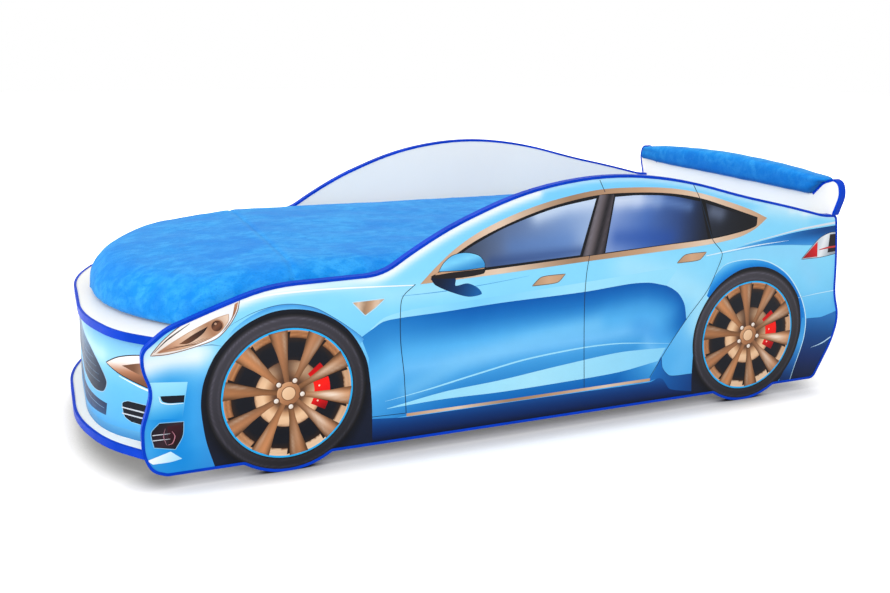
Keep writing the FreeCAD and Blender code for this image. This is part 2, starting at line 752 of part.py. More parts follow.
def build_spoiler():
    stations = [CUSHION_TIP] + CUSHION_STATIONS + [outer_half]
    places = [outer_half - inward for inward in stations]
    places += [-across for across in places[-2::-1]]
    pad_shape = Part.makeLoft([cushion_section(across) for across in places], True, True)
    slot = Part.Face(Part.Wire([c.toShape() for c in core_outline(size("core_play"))]))
    slot.rotate(Vector(0, 0, 0), Vector(1, 1, 1), 120)
    thick = size("board") + 2 * size("core_play")
    slot.translate(Vector(rear_front - size("core_play"), 0, 0))
    cushion = doc.addObject("Part::Feature", "spoiler_cushion")
    cushion.Label = "spoiler_cushion"
    cushion.Shape = pad_shape.cut(slot.extrude(Vector(thick, 0, 0)))

    core = new_body("spoiler_core")
    pad(core, new_sketch(core, "YZ", core_outline(0)), "Sizes.board")
    dowel_holes = holes([(size("board") / 2, y) for y in dowel_places()], size("dowel_radius"))
    pocket(core, new_sketch(core, "XY", dowel_holes, "Sizes.recess_level"), "Sizes.dowel_half",
           backwards=True)
    place(core, along=REAR_AXLE + " + Sizes.rear_board_back - Sizes.board")

    half = size("dowel_half")
    middle = rear_front + size("board") / 2
    dowels = []
    for across in dowel_places():
        dowels.append(rod(size("dowel_radius"), 2 * half, Vector(middle, across, recess - half), UP))
    new_group("spoiler_dowels", dowels)


# ---------------------------------------------------------------- mattress

def mattress_section(across, inset=0):
    """Section along the bed: rounded foot, level top, sloping bonnet and round front."""
    half = bay_half - size("mattress_play")
    shoulder = MATTRESS_SHOULDER
    over = max(0, abs(across) - half + shoulder) / shoulder
    drop = shoulder * (1 - math.sqrt(max(0, 1 - over ** 2))) * SHOULDER_SHARE
    drop += MATTRESS_CROWN * (across / half) ** 2 + inset
    high = mattress_base + size("mattress_thick") - drop
    front = front_axle + MATTRESS_APEX_X + MATTRESS_SWEEP * (abs(across) / half) ** MATTRESS_POWER
    back = rear_front - size("mattress_play")
    seam = front_axle + size("seam_x")
    tall = high - mattress_base
    points = [(front, mattress_base), (back, mattress_base), (back, high), (seam, high),
              (front, high - BONNET_DROP * tall / size("mattress_thick"))]
    radii = {0: FOOT_ROUND, 1: FOOT_ROUND, 2: BACK_ROUND, 3: BONNET_BLEND, 4: BONNET_ROUND * tall}
    return upright_wire(tangent_path(flat(points), radii, closed=True), across)


def mattress_shape(inset=0):
    half = bay_half - size("mattress_play") - inset
    flat_half = half - MATTRESS_SHOULDER
    places = [flat_half + MATTRESS_SHOULDER * math.sin(math.radians(angle)) for angle in SHOULDER_ANGLES]
    places += [flat_half * share for share in FLAT_SHARES]
    places += [-across for across in places[-2::-1]]
    return Part.makeLoft([mattress_section(across, inset) for across in places], True, True)


def build_mattress():
    whole = mattress_shape()
    seam = front_axle + size("seam_x")
    slab = Part.makeBox(SEAM_WIDE, 2 * outer_half, size("mattress_thick"),
                        Vector(seam - SEAM_WIDE / 2, -outer_half, mattress_base + SEAM_FOOT))
    channel = slab.cut(mattress_shape(size("seam_depth")))
    mattress = doc.addObject("Part::Feature", "mattress")
    mattress.Label = "mattress"
    mattress.Shape = whole.cut(channel)


# ---------------------------------------------------------------- lath base

def rail_start():
    return front_axle + size("rail_front")


def rail_length():
    return rear_front - rail_start()


def rail_holes():
    """Rail screw places on the side panels, from first to last at one pitch."""
    span = size("rail_screw_pitch") * (size("rail_screw_count") - 1)
    first = rail_start() + (rail_length() - span) / 2
    level = rail_top - size("rail_tall") / 2
    return [(first + n * size("rail_screw_pitch"), level) for n in range(int(size("rail_screw_count")))]


def slat_places():
    """Middles of the laths along the bed."""
    first = rail_start() + size("rail_end")
    last = rail_start() + rail_length() - size("rail_end")
    count = int(size("slat_count"))
    return [first + (last - first) * n / (count - 1) for n in range(count)]


def holder_end():
    """The holders' outer ends, short of the side panels."""
    return bay_half - size("holder_gap")


def build_rails():
    bottom = rail_top - size("rail_tall")
    for side, name in ((-1, "left"), (1, "right")):
        rail = new_body("side_rail_" + name)
        corners = [(rail_start(), bottom), (rail_start() + rail_length(), bottom),
                   (rail_start() + rail_length(), rail_top), (rail_start(), rail_top)]
        pad(rail, new_sketch(rail, "XZ", polygon(corners)), "Sizes.rail_wide", middle=True)
        radius = size("screw_shank") + size("pilot_play")
        through = new_sketch(rail, "XZ", holes(rail_holes(), radius))
        pocket(rail, through, "Sizes.rail_wide", middle=True)
        peg = size("peg_radius") + size("holder_play")
        line = side * (size("rail_wide") / 2 - size("holder_gap") - size("peg_in"))
        pegs = new_sketch(rail, "XY", holes([(x, line) for x in slat_places()], peg), RAIL_TOP)
        pocket(rail, pegs, "Sizes.peg_depth + Sizes.holder_play")
        place(rail, across="%d * (Sizes.bay_width / 2 - Sizes.rail_wide / 2)" % side)


def build_rail_screws():
    screws = []
    for side in (-1, 1):
        for x, z in rail_holes():
            seat = Vector(x, side * (bay_half - size("rail_wide")), z)
            length = size("rail_wide") + size("screw_bite")
            screws.append(screw(seat, Vector(0, side, 0), size("screw_shank"), length,
                                size("screw_head"), size("screw_head_tall")))
    new_group("rail_screws", screws)


def slat_end():
    return holder_end() - size("holder_wall") - size("slat_end_play")


def slat_arc(extra):
    """The lath's underside or top as seen along the bed, for a radius larger by extra."""
    half = slat_end()
    rise = size("slat_rise")
    radius = (half ** 2 + rise ** 2) / (2 * rise)
    base = rail_top + size("holder_wall") + size("holder_play")
    lean = math.asin(half / radius)
    centre = Vector(0, base + rise - radius, 0)
    reach = radius + extra
    end = Vector(reach * math.sin(lean), reach * math.cos(lean), 0)
    return centre + end, centre + Vector(0, reach, 0), centre + Vector(-end.x, end.y, 0)


def build_slats():
    lower = slat_arc(0)
    upper = slat_arc(size("slat_thick"))
    outline = [Part.Arc(*lower), Part.LineSegment(lower[2], upper[2]),
               Part.Arc(*upper[::-1]), Part.LineSegment(upper[0], lower[0])]
    first = FRONT_AXLE + " + Sizes.rail_front + Sizes.rail_end"
    last = REAR_AXLE + " + Sizes.rear_board_back - Sizes.board - Sizes.rail_end"
    for number in range(int(size("slat_count"))):
        slat = new_body("slat_%02d" % (number + 1))
        pad(slat, new_sketch(slat, "YZ", outline), "Sizes.slat_wide", middle=True)
        share = "%d / (Sizes.slat_count - 1)" % number
        place(slat, along="%s + (%s - (%s)) * %s" % (first, last, first, share))


def holder(middle, side):
    """Plastic cap of one lath end: open inwards, with a peg below."""
    wall = size("holder_wall")
    play = size("holder_play")
    half = slat_end()
    tuck_rise = size("slat_tuck") * 2 * size("slat_rise") / half
    inside_tall = size("slat_thick") + tuck_rise + 2 * play
    outer = Part.makeBox(size("slat_wide") + 2 * (wall + play), wall + size("slat_tuck"),
                         inside_tall + 2 * wall)
    inner = Part.makeBox(size("slat_wide") + 2 * play, size("slat_tuck") + 1, inside_tall,
                         Vector(wall, wall if side < 0 else -1, wall))
    cap_shape = outer.cut(inner)
    start = Vector(middle - size("slat_wide") / 2 - wall - play, -holder_end(), rail_top)
    if side > 0:
        start.y = holder_end() - wall - size("slat_tuck")
    cap_shape.translate(start)
    foot = Vector(middle, side * (holder_end() - size("peg_in")), rail_top - size("peg_depth"))
    return cap_shape.fuse(rod(size("peg_radius"), size("peg_depth"), foot, UP)).removeSplitter()


def build_holders():
    for side, name in ((-1, "left"), (1, "right")):
        new_group("slat_holders_" + name, [holder(middle, side) for middle in slat_places()])


def build_brackets():
    places = bracket_places()
    new_group("corner_brackets", [bracket(*spot) for spot in places])
    new_group("bracket_screws", [item for spot in places for item in bracket_pair(*spot)])


# ---------------------------------------------------------------- build, check, write

def faults():
    found = []
    for item in doc.Objects:
        if "Invalid" in item.State or "Error" in item.State:
            found.append(item.Label + " has failed")
    for item in sub_parts():
        if item.Shape.isNull() or not item.Shape.isValid() or item.Shape.Volume <= 0:
            found.append(item.Label + " has no valid shape")
    return found


def sub_parts():
    return [item for item in doc.Objects
            if item.TypeId == "PartDesign::Body" or item.TypeId == "Part::Feature"]


build_sides()
build_nose()
build_shelf_screws()
build_rear()
build_spoiler()
build_mattress()
build_rails()
build_rail_screws()
build_slats()
build_holders()
build_brackets()
doc.recompute()

problems = faults()
if problems:
    raise RuntimeError("; ".join(problems))

os.makedirs("parts", exist_ok=True)
for item in sub_parts():
    item.Shape.exportStep("parts/%s.step" % item.Label)
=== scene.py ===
"""Looks of the child's car bed: printed side panels and nose, blue edging, plush mattress and spoiler."""

import math

import bmesh
import bpy
import numpy as np
from bpy.props import FloatProperty, FloatVectorProperty, IntProperty, PointerProperty
from mathutils import Matrix, Vector
from mathutils.geometry import delaunay_2d_cdt


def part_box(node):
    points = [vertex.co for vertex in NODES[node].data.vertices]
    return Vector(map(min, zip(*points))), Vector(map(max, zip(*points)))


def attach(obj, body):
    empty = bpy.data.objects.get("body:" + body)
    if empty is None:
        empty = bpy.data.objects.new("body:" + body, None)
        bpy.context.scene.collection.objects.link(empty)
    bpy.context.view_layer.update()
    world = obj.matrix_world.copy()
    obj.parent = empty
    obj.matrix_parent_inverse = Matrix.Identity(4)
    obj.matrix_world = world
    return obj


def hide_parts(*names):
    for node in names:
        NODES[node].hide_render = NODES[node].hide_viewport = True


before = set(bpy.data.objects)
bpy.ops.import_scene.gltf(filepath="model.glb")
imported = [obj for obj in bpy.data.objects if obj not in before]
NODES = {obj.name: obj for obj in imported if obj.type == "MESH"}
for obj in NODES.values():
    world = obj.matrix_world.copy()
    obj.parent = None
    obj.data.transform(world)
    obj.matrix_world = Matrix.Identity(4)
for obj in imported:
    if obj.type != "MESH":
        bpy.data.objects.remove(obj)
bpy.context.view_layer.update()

bl_info = {
    "name": "Car bed",
    "version": (1, 0),
    "blender": (4, 5, 0),
    "location": "View3D > Sidebar > Car bed",
    "description": "Dresses the packed car bed with its print, edging, plush and boards",
    "category": "Object",
}

MM = 0.001

# The print is drawn in millimetres: along the bed from the front axle, and up from the axle
FRONT_AXLE = (-579.2, 184.5)
WHEELBASE = 1288
# Height of the lowest ink above its board, and of each layer above the one below
INK_LIFT = 0.06
INK_STEP = 0.05
# The nose sheet is bent in facets, so its inks stand off further: in all, and per height
NOSE_STAND, NOSE_RISE = 0.1, 1.6


def linear(colour):
    """Linear light values of a colour given as it is printed, 0 to 255."""
    c = np.clip(np.asarray(colour, float) / 255, 0, 1)
    return np.where(c <= 0.04045, c / 12.92, ((c + 0.055) / 1.055) ** 2.4)


def shade_of(colour):
    return tuple(float(v) for v in linear(colour))


def printed(colour):
    """The printed values, 0 to 255, of a linear colour."""
    c = np.clip(np.asarray(colour, float), 0, 1)
    return 255 * np.where(c <= 0.0031308, c * 12.92, 1.055 * c ** (1 / 2.4) - 0.055)


# ------------------------------------------------------------------ settings

def colour(name, description, value):
    return FloatVectorProperty(name=name, description=description, subtype="COLOR", size=3,
                               min=0, max=1, default=shade_of(value))


def length(name, description, value):
    return FloatProperty(name=name, description=description, default=value,
                         subtype="DISTANCE", unit="LENGTH")


class BoardSettings(bpy.types.PropertyGroup):
    laminate: colour("Laminate", "White laminate of the boards", (254, 250, 239))
    edging: colour("Edging", "Blue plastic edging", (0, 58, 184))
    birch: colour("Birch", "Bent laths", (222, 190, 142))
    pine: colour("Pine", "Side rails", (214, 178, 122))
    holder: colour("Holders", "Plastic ends of the laths", (30, 30, 32))
    zinc: colour("Zinc", "Screws and angles", (178, 182, 188))


class PrintSettings(bpy.types.PropertyGroup):
    light: colour("Light blue", "Lit parts of the printed bodywork", (136, 216, 252))
    body: colour("Body blue", "Printed bodywork", (84, 178, 240))
    deep: colour("Deep blue", "Shaded parts of the printed bodywork", (2, 88, 172))
    navy: colour("Navy", "Printed sills and bumper undersides", (8, 34, 84))
    bronze: colour("Bronze", "Printed wheels and trim", (194, 154, 122))
    ring: colour("Wheel ring", "Bright ring round the wheels", (40, 172, 238))
    gloss: FloatProperty(name="Roughness", description="Roughness of the printed film", default=0.34,
                         min=0, max=1, subtype="FACTOR")


class PlushSettings(bpy.types.PropertyGroup):
    # Lit and shaded copies of one pile: the brushed colour is painted sheen and the shaded colour is painted
    # shade of the nap
    pile: colour("Pile", "Plush as it mostly shows", (20, 137, 220))
    brushed: colour("Brushed pile", "Plush brushed towards the light", (60, 168, 236))
    shaded: colour("Shaded pile", "Plush brushed away from the light", (14, 118, 212))
    mattress_voxel: length("Mattress mesh", "Mesh size before the mattress is filled", 0.011)
    cushion_voxel: length("Cushion mesh", "Mesh size before the spoiler is filled", 0.006)
    swell: length("Swell", "Most that the filling pushes the cover out", 0.006)
    pressure: FloatProperty(name="Filling", description="Pressure of the filling", default=4.0, min=0)
    steps: IntProperty(name="Steps", description="Steps of the filling", default=20, min=1)


class StageSettings(bpy.types.PropertyGroup):
    lens: FloatProperty(name="Lens", description="Focal length", default=37.008, unit="CAMERA")
    key: FloatProperty(name="Key lamp", description="Power of the large lamp", default=84, unit="POWER")
    fill: FloatProperty(name="Nose lamp", description="Power of the lamp at the nose", default=460,
                        unit="POWER")
    sky: FloatProperty(name="Surround", description="Strength of the white surround", default=0.85)


SETTINGS = {"car_bed_boards": BoardSettings, "car_bed_print": PrintSettings,
            "car_bed_plush": PlushSettings, "car_bed_stage": StageSettings}


# ------------------------------------------------------------------ finishes

class Finish:
    """A node material built from one Principled shader."""

    def __init__(self, name):
        self.material = bpy.data.materials.new(name)
        self.material.use_nodes = True
        self.tree = self.material.node_tree
        self.shader = self.tree.nodes["Principled BSDF"]
        self.place = self.node("ShaderNodeTexCoord").outputs["Object"]

    def node(self, kind, **values):
        found = self.tree.nodes.new(kind)
        for key, value in values.items():
            setattr(found, key, value)
        return found

    def join(self, source, target):
        self.tree.links.new(source, target)

    def noise(self, scale, detail=4.0, stretch=(1, 1, 1), distortion=0.0, turn=(0, 0, 0)):
        mapping = self.node("ShaderNodeMapping")
        mapping.inputs["Scale"].default_value = stretch
        mapping.inputs["Rotation"].default_value = turn
        self.join(self.place, mapping.inputs["Vector"])
        found = self.node("ShaderNodeTexNoise")
        found.inputs["Scale"].default_value = scale
        found.inputs["Detail"].default_value = detail
        found.inputs["Distortion"].default_value = distortion
        self.join(mapping.outputs["Vector"], found.inputs["Vector"])
        return found.outputs["Fac"]

    def spread(self, value, low, high, to_low=0.0, to_high=1.0):
        found = self.node("ShaderNodeMapRange")
        for key, number in zip(("From Min", "From Max", "To Min", "To Max"), (low, high, to_low, to_high)):
            found.inputs[key].default_value = number
        self.join(value, found.inputs["Value"])
        return found.outputs["Result"]

    def mix(self, share, first, second):
        found = self.node("ShaderNodeMix", data_type="RGBA")
        for value, socket in ((share, found.inputs[0]), (first, found.inputs[6]), (second, found.inputs[7])):
            if isinstance(value, bpy.types.NodeSocket):
                self.join(value, socket)
            elif isinstance(value, (int, float)):
                socket.default_value = value
            else:
                socket.default_value = (*value, 1)
        return found.outputs[2]

    def sum(self, first, second, operation="ADD"):
        found = self.node("ShaderNodeMath", operation=operation)
        for value, socket in ((first, found.inputs[0]), (second, found.inputs[1])):
            if isinstance(value, bpy.types.NodeSocket):
                self.join(value, socket)
            else:
                socket.default_value = value
        return found.outputs[0]

    def colour(self, source):
        self.join(source, self.shader.inputs["Base Color"])

    def rough(self, source, low, high):
        """Roughness from low to high over the middle of a noise."""
        self.join(self.spread(source, 0.3, 0.7, low, high), self.shader.inputs["Roughness"])

    def bump(self, height, distance, strength=1.0):
        found = self.node("ShaderNodeBump")
        found.inputs["Distance"].default_value = distance
        found.inputs["Strength"].default_value = strength
        self.join(height, found.inputs["Height"])
        self.join(found.outputs["Normal"], self.shader.inputs["Normal"])

    def set(self, **values):
        for key, value in values.items():
            self.shader.inputs[key.replace("_", " ")].default_value = value


def dim(colour, share):
    return tuple(share * c for c in colour)


def laminate_finish(settings):
    """Melamine: almost even white with a fine pebbled skin."""
    finish = Finish("white laminate")
    cloud = finish.noise(3.0, 3.0)
    finish.colour(finish.mix(finish.spread(cloud, 0.3, 0.7), tuple(settings.laminate),
                             dim(settings.laminate, 0.965)))
    finish.rough(finish.noise(90.0, 2.0), 0.36, 0.46)
    finish.bump(finish.noise(900.0, 2.0), 0.00006, 0.5)
    return finish.material


def edging_finish(settings):
    """Soft plastic with a satin skin and faint draw lines."""
    finish = Finish("blue edging")
    blue = tuple(settings.edging)
    light = tuple(min(1, c * 1.25 + 0.004) for c in blue)
    finish.colour(finish.mix(finish.spread(finish.noise(14.0, 3.0), 0.35, 0.75), blue, light))
    finish.rough(finish.noise(120.0, 2.0), 0.32, 0.44)
    finish.set(Specular_IOR_Level=0.06)
    finish.bump(finish.noise(420.0, 2.0, (1, 6, 1)), 0.00008, 0.4)
    return finish.material


def wood_finish(name, pale, stretch, ring_scale):
    """Planed wood whose grain runs along the piece."""
    finish = Finish(name)
    grain = finish.noise(ring_scale, 8.0, stretch, 1.2)
    fibre = finish.noise(ring_scale * 9, 4.0, stretch, 0.2)
    dark = tuple(c * f for c, f in zip(pale, (0.72, 0.62, 0.5)))
    streak = finish.mix(finish.spread(grain, 0.35, 0.7), tuple(pale), dark)
    finish.colour(finish.mix(finish.spread(fibre, 0.45, 0.75, 0.0, 0.35), streak, dim(dark, 0.7)))
    finish.rough(fibre, 0.45, 0.62)
    finish.bump(fibre, 0.00015, 0.5)
    return finish.material


def holder_finish(settings):
    """Moulded plastic with a fine spark-eroded skin."""
    finish = Finish("moulded holder plastic")
    finish.colour(finish.mix(finish.noise(60.0, 3.0), tuple(settings.holder), dim(settings.holder, 1.6)))
    finish.rough(finish.noise(300.0, 2.0), 0.45, 0.6)
    finish.bump(finish.noise(1400.0, 2.0), 0.0001, 0.6)
    return finish.material


def zinc_finish(settings):
    """Zinc plate with its cloudy bloom."""
    finish = Finish("zinc plated steel")
    bloom = finish.spread(finish.noise(160.0, 4.0), 0.35, 0.7)
    finish.colour(finish.mix(bloom, tuple(settings.zinc), dim(settings.zinc, 0.7)))
    finish.rough(finish.noise(240.0, 3.0), 0.28, 0.45)
    finish.bump(finish.noise(700.0, 2.0, (1, 1, 8)), 0.00005, 0.5)
    finish.set(Metallic=1.0)
    return finish.material


def film_finish(settings, name):
    """Printed film: ink from the drawn layers, with slight dot gain and a satin laminate over it."""
    finish = Finish(name)
    ink = finish.node("ShaderNodeAttribute", attribute_name="Ink")
    gain = finish.spread(finish.noise(26.0, 3.0), 0.3, 0.7, 0.985, 1.015)
    both = finish.node("ShaderNodeVectorMath", operation="SCALE")
    finish.join(ink.outputs["Color"], both.inputs[0])
    finish.join(gain, both.inputs["Scale"])
    finish.colour(both.outputs["Vector"])
    finish.rough(finish.noise(70.0, 2.0), settings.gloss - 0.03, settings.gloss + 0.05)
    finish.bump(finish.noise(600.0, 2.0), 0.00004, 0.35)
    finish.set(Specular_IOR_Level=0.1)
    return finish.material


def plush_finish(settings, name, turn, underside_shade):
    """Short pile: brushed strokes and patches in painted sheen and painted shade of the nap, tufts with painted
    shade, a soft sheen, and painted shade where it turns down.
    """
    finish = Finish(name)
    strokes = finish.noise(30.0, 9.0, (1, 1.7, 1.5), 0.5, turn)
    shade_patches = finish.noise(7.0, 6.0, (1, 1.2, 1), 0.8)
    tufts = finish.noise(260.0, 4.0, (1, 1.6, 1.4), 0.4, turn)
    # Painted sheen: the brushed strokes lighten the pile
    pile = finish.mix(finish.spread(strokes, 0.4, 0.66, 0.0, 0.75), tuple(settings.pile),
                      tuple(settings.brushed))
    # Painted shade: patches where the nap lies away from the light
    pile = finish.mix(finish.spread(shade_patches, 0.42, 0.66, 0.0, 0.7), pile, tuple(settings.shaded))
    # Painted shade: the shaded pile darkened further, laid into the tufts and on the underside
    dark = dim(settings.shaded, 0.55)
    pile = finish.mix(finish.spread(tufts, 0.48, 0.78, 0.0, 0.45), pile, dark)
    # Painted shade where the surface turns down, darker the more it faces the floor
    facing = finish.node("ShaderNodeSeparateXYZ")
    finish.join(finish.node("ShaderNodeNewGeometry").outputs["Normal"], facing.inputs[0])
    pile = finish.mix(finish.spread(facing.outputs["Z"], 0.75, -0.5, 0.0, underside_shade), pile, dark)
    finish.colour(pile)
    finish.rough(tufts, 0.82, 0.95)
    finish.bump(finish.sum(finish.sum(tufts, 0.6, "MULTIPLY"), strokes), 0.0013, 0.5)
    finish.set(Sheen_Weight=0.28, Sheen_Roughness=0.45, Sheen_Tint=(0.3, 0.66, 1.0, 1),
               Specular_IOR_Level=0.1)
    return finish.material


def dress(nodes, material):
    """Gives CAD nodes their finish."""
    for name in nodes:
        piece = NODES[name]
        piece.data.materials.clear()
        piece.data.materials.append(material)


# ------------------------------------------------------------------ drawing

def smooth_line(points, closed=False, step=7.0):
    """Points along a smooth line; a control point with a third item is a corner."""
    spots = [np.array(p[:2], float) for p in points]
    corners = [n for n, p in enumerate(points) if len(p) > 2]
    count = len(spots)
    if closed and not corners:
        order = [(spots[(n - 1) % count], spots[n], spots[(n + 1) % count], spots[(n + 2) % count])
                 for n in range(count)]
        return np.concatenate([bend(*four, step) for four in order])
    if closed:
        turn = corners[0]
        spots = spots[turn:] + spots[:turn + 1]
        corners = [n - turn for n in corners] + [n - turn + count for n in corners if n < turn] + [count]
    stops = sorted(set([0, len(spots) - 1] + corners))
    pieces = []
    for first, last in zip(stops, stops[1:]):
        run = spots[first:last + 1]
        run = [2 * run[0] - run[1]] + run + [2 * run[-1] - run[-2]]
        for n in range(1, len(run) - 2):
            pieces.append(bend(*run[n - 1:n + 3], step))
    line = np.concatenate(pieces)
    return line if closed else np.vstack([line, spots[-1]])


def bend(before, start, end, after, step):
    """Points from start up to end on a curve that eases past its neighbours."""
    reach = np.linalg.norm(end - start)
    count = max(1, int(math.ceil(reach / step)))
    if reach < 1e-6:
        return start[None]
    leave = (end - before) * min(1, reach / max(1e-6, np.linalg.norm(start - before))) * 0.5
    arrive = (after - start) * min(1, reach / max(1e-6, np.linalg.norm(after - end))) * 0.5
    t = (np.arange(count) / count)[:, None]
    return ((2 * t ** 3 - 3 * t ** 2 + 1) * start + (t ** 3 - 2 * t ** 2 + t) * leave
            + (-2 * t ** 3 + 3 * t ** 2) * end + (t ** 3 - t ** 2) * arrive)


def ribbon(points, widths, step=7.0):
    """Outline of a stroke along a line, as wide as widths say from its start to its end."""
    line = smooth_line(points, step=step)
    ahead = np.gradient(line, axis=0)
    ahead /= np.linalg.norm(ahead, axis=1)[:, None] + 1e-9
    side = np.stack([-ahead[:, 1], ahead[:, 0]], 1)
    share = np.linspace(0, 1, len(line))
    wide = np.interp(share, np.linspace(0, 1, len(widths)), widths)[:, None] / 2
    return np.vstack([line + side * wide, (line - side * wide)[::-1]])


def between(first, second):
    """Closed outline between two smooth lines that run the same way."""
    return np.vstack([smooth_line(first), smooth_line(second)[::-1]])


def anticlockwise(outline):
    area = np.sum(outline[:, 0] * np.roll(outline[:, 1], -1) - np.roll(outline[:, 0], -1) * outline[:, 1])
    return outline if area > 0 else outline[::-1]


def grow(outline, by):
    """The outline moved outwards."""
    outline = anticlockwise(outline)
    ahead = np.roll(outline, -1, 0) - np.roll(outline, 1, 0)
    ahead /= np.linalg.norm(ahead, axis=1)[:, None] + 1e-9
    return outline + np.stack([ahead[:, 1], -ahead[:, 0]], 1) * by


def disc(centre, radius, steps=72, start=0.0, turn=2 * math.pi):
    whole = turn >= 2 * math.pi - 1e-6
    angle = start + turn * np.arange(steps) / (steps if whole else steps - 1)
    return np.stack([centre[0] + radius * np.cos(angle), centre[1] + radius * np.sin(angle)], 1)


def inside(outline, points):
    """Which points lie inside a closed outline."""
    hit = np.zeros(len(points), bool)
    a, b = outline, np.roll(outline, -1, 0)
    for (x0, z0), (x1, z1) in zip(a, b):
        if z0 == z1:
            continue
        cross = (z0 > points[:, 1]) != (z1 > points[:, 1])
        hit ^= cross & (points[:, 0] < (x1 - x0) * (points[:, 1] - z0) / (z1 - z0) + x0)
    return hit


def distance(points, line):
    """From each point to the nearest place of an open line."""
    line = np.asarray(line, float)
    best = np.full(len(points), 1e9)
    for a, b in zip(line, line[1:]):
        run = b - a
        t = np.clip(((points - a) @ run) / max(1e-9, run @ run), 0, 1)
        best = np.minimum(best, np.linalg.norm(points - a - t[:, None] * run, axis=1))
    return best


def ramp(share, stops):
    """Colours between stops (share, colour)."""
    at = [s for s, c in stops]
    return np.stack([np.interp(share, at, [c[n] for s, c in stops]) for n in range(3)], 1)


def toward(first, second, share):
    share = np.clip(np.asarray(share, float), 0, 1)[:, None]
    return first * (1 - share) + np.asarray(second, float) * share


def from_hub(points, hub):
    return np.linalg.norm(points - hub, axis=1)


def around(hub, stops):
    """Ink in rings round a hub."""
    return lambda points: ramp(from_hub(points, hub), stops)


def heading(angle):
    return np.array((math.cos(angle), math.sin(angle)))


def turn_of(points, hub):
    """Angle of each point round a hub on the axle line."""
    return np.arctan2(points[:, 1], points[:, 0] - hub[0])


def fade(start, end, *colours):
    """Ink that runs evenly through colours from start to end."""
    start, end = np.array(start, float), np.array(end, float)

    def ink(points):
        share = ((points - start) @ (end - start)) / ((end - start) @ (end - start))
        return ramp(np.clip(share, 0, 1), list(zip(np.linspace(0, 1, len(colours)), colours)))
    return ink


class Film:
    """Layers of ink of one print, gathered in a single mesh.

    spot(points, lift) turns drawing points into places on the bed, lift above the surface.
    """

    def __init__(self, name, spot, border, flip=False, grid=0.0):
        self.name = name
        self.grid = grid
        self.spot = spot
        self.border = anticlockwise(border)
        self.flip = flip
        self.points, self.faces, self.inks = [], [], []
        self.count = 0

    def lay(self, outline, ink, layer, grid=0.0):
        """Adds an inked shape, cut at the border; grid is how closely its shading is sampled."""
        outline = anticlockwise(np.asarray(outline, float))
        low, high = outline.min(0), outline.max(0)
        grid = self.grid or grid
        spots = [outline, self.border]
        if grid:
            # Staggered points inside the shape, for its shading
            xs = np.arange(low[0] + grid / 2, high[0], grid)
            zs = np.arange(low[1] + grid / 2, high[1], grid)
            mesh = np.stack(np.meshgrid(xs, zs), -1).reshape(-1, 2)
            mesh[:, 0] += np.where(np.floor(mesh[:, 1] / grid) % 2, grid / 4, -grid / 4)
            mesh = mesh[inside(outline, mesh) & inside(self.border, mesh)]
            if len(mesh):
                spots.append(mesh)
        every = np.vstack(spots)
        faces = [list(range(len(outline))), list(range(len(outline), len(outline) + len(self.border)))]
        result = delaunay_2d_cdt([Vector(p) for p in every], [], faces, 1, 1e-5)
        verts, triangles, origin = result[0], result[2], result[5]
        keep = [t for t, o in zip(triangles, origin) if 0 in o and 1 in o]
        if not keep:
            raise RuntimeError(self.name + ": a shape lies outside the print")
        used = sorted(set(v for t in keep for v in t))
        number = {v: n + self.count for n, v in enumerate(used)}
        flat = np.array([verts[v][:2] for v in used])
        self.points.append(self.spot(flat, INK_LIFT + INK_STEP * layer))
        self.faces += [[number[v] for v in (t[::-1] if self.flip else t)] for t in keep]
        colours = ink(flat) if callable(ink) else np.tile(np.asarray(ink, float), (len(flat), 1))
        self.inks.append(linear(colours))
        self.count += len(used)

    def shape(self, points, ink, layer, grid=0.0, step=7.0):
        """A closed shape through its control points."""
        self.lay(smooth_line(points, True, step), ink, layer, grid)

    def stroke(self, points, widths, ink, layer, grid=0.0, step=7.0):
        """A line, as wide as widths say from its start to its end."""
        self.lay(ribbon(points, widths, step), ink, layer, grid)

    def strip(self, first, second, ink, layer, grid=0.0):
        """The room between two lines that run the same way."""
        self.lay(between(first, second), ink, layer, grid)

    def rimmed(self, outline, by, rim, layer, ink, grid=0.0):
        """A shape one layer above its rim, which stands out by so much."""
        self.lay(grow(outline, by), rim, layer)
        self.lay(outline, ink, layer + 1, grid)

    def finish(self, material, body, slot):
        piece = mesh_piece(self.name, np.vstack(self.points).tolist(), self.faces)
        inks = np.vstack(self.inks)
        layer = piece.data.color_attributes.new("Ink", "FLOAT_COLOR", "POINT")
        layer.data.foreach_set("color", np.hstack([inks, np.ones((len(inks), 1))]).astype(np.float32).ravel())
        piece.data.materials.append(material)
        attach(piece, body)
        return piece


def face_border(node, axis, level):
    """Outline, in metres, of a board's flat face at a level of an axis, from the board's own mesh."""
    mesh = NODES[node].data
    flat = [abs(v.co[axis] - level) < 2e-4 for v in mesh.vertices]
    ends = {}
    for polygon in mesh.polygons:
        if all(flat[v] for v in polygon.vertices):
            for key in polygon.edge_keys:
                spots = tuple(sorted(tuple(round(c, 6) for c in mesh.vertices[v].co) for v in key))
                ends[spots] = ends.get(spots, 0) + 1
    links = {}
    for (a, b), uses in ends.items():
        if uses == 1:
            links.setdefault(a, []).append(b)
            links.setdefault(b, []).append(a)
    start = min(links)
    loop, last, here = [start], None, start
    while True:
        ahead = [p for p in links[here] if p != last]
        last, here = here, ahead[0]
        if here == start:
            break
        loop.append(here)
    return np.array(loop)


# ------------------------------------------------------------------ the side print

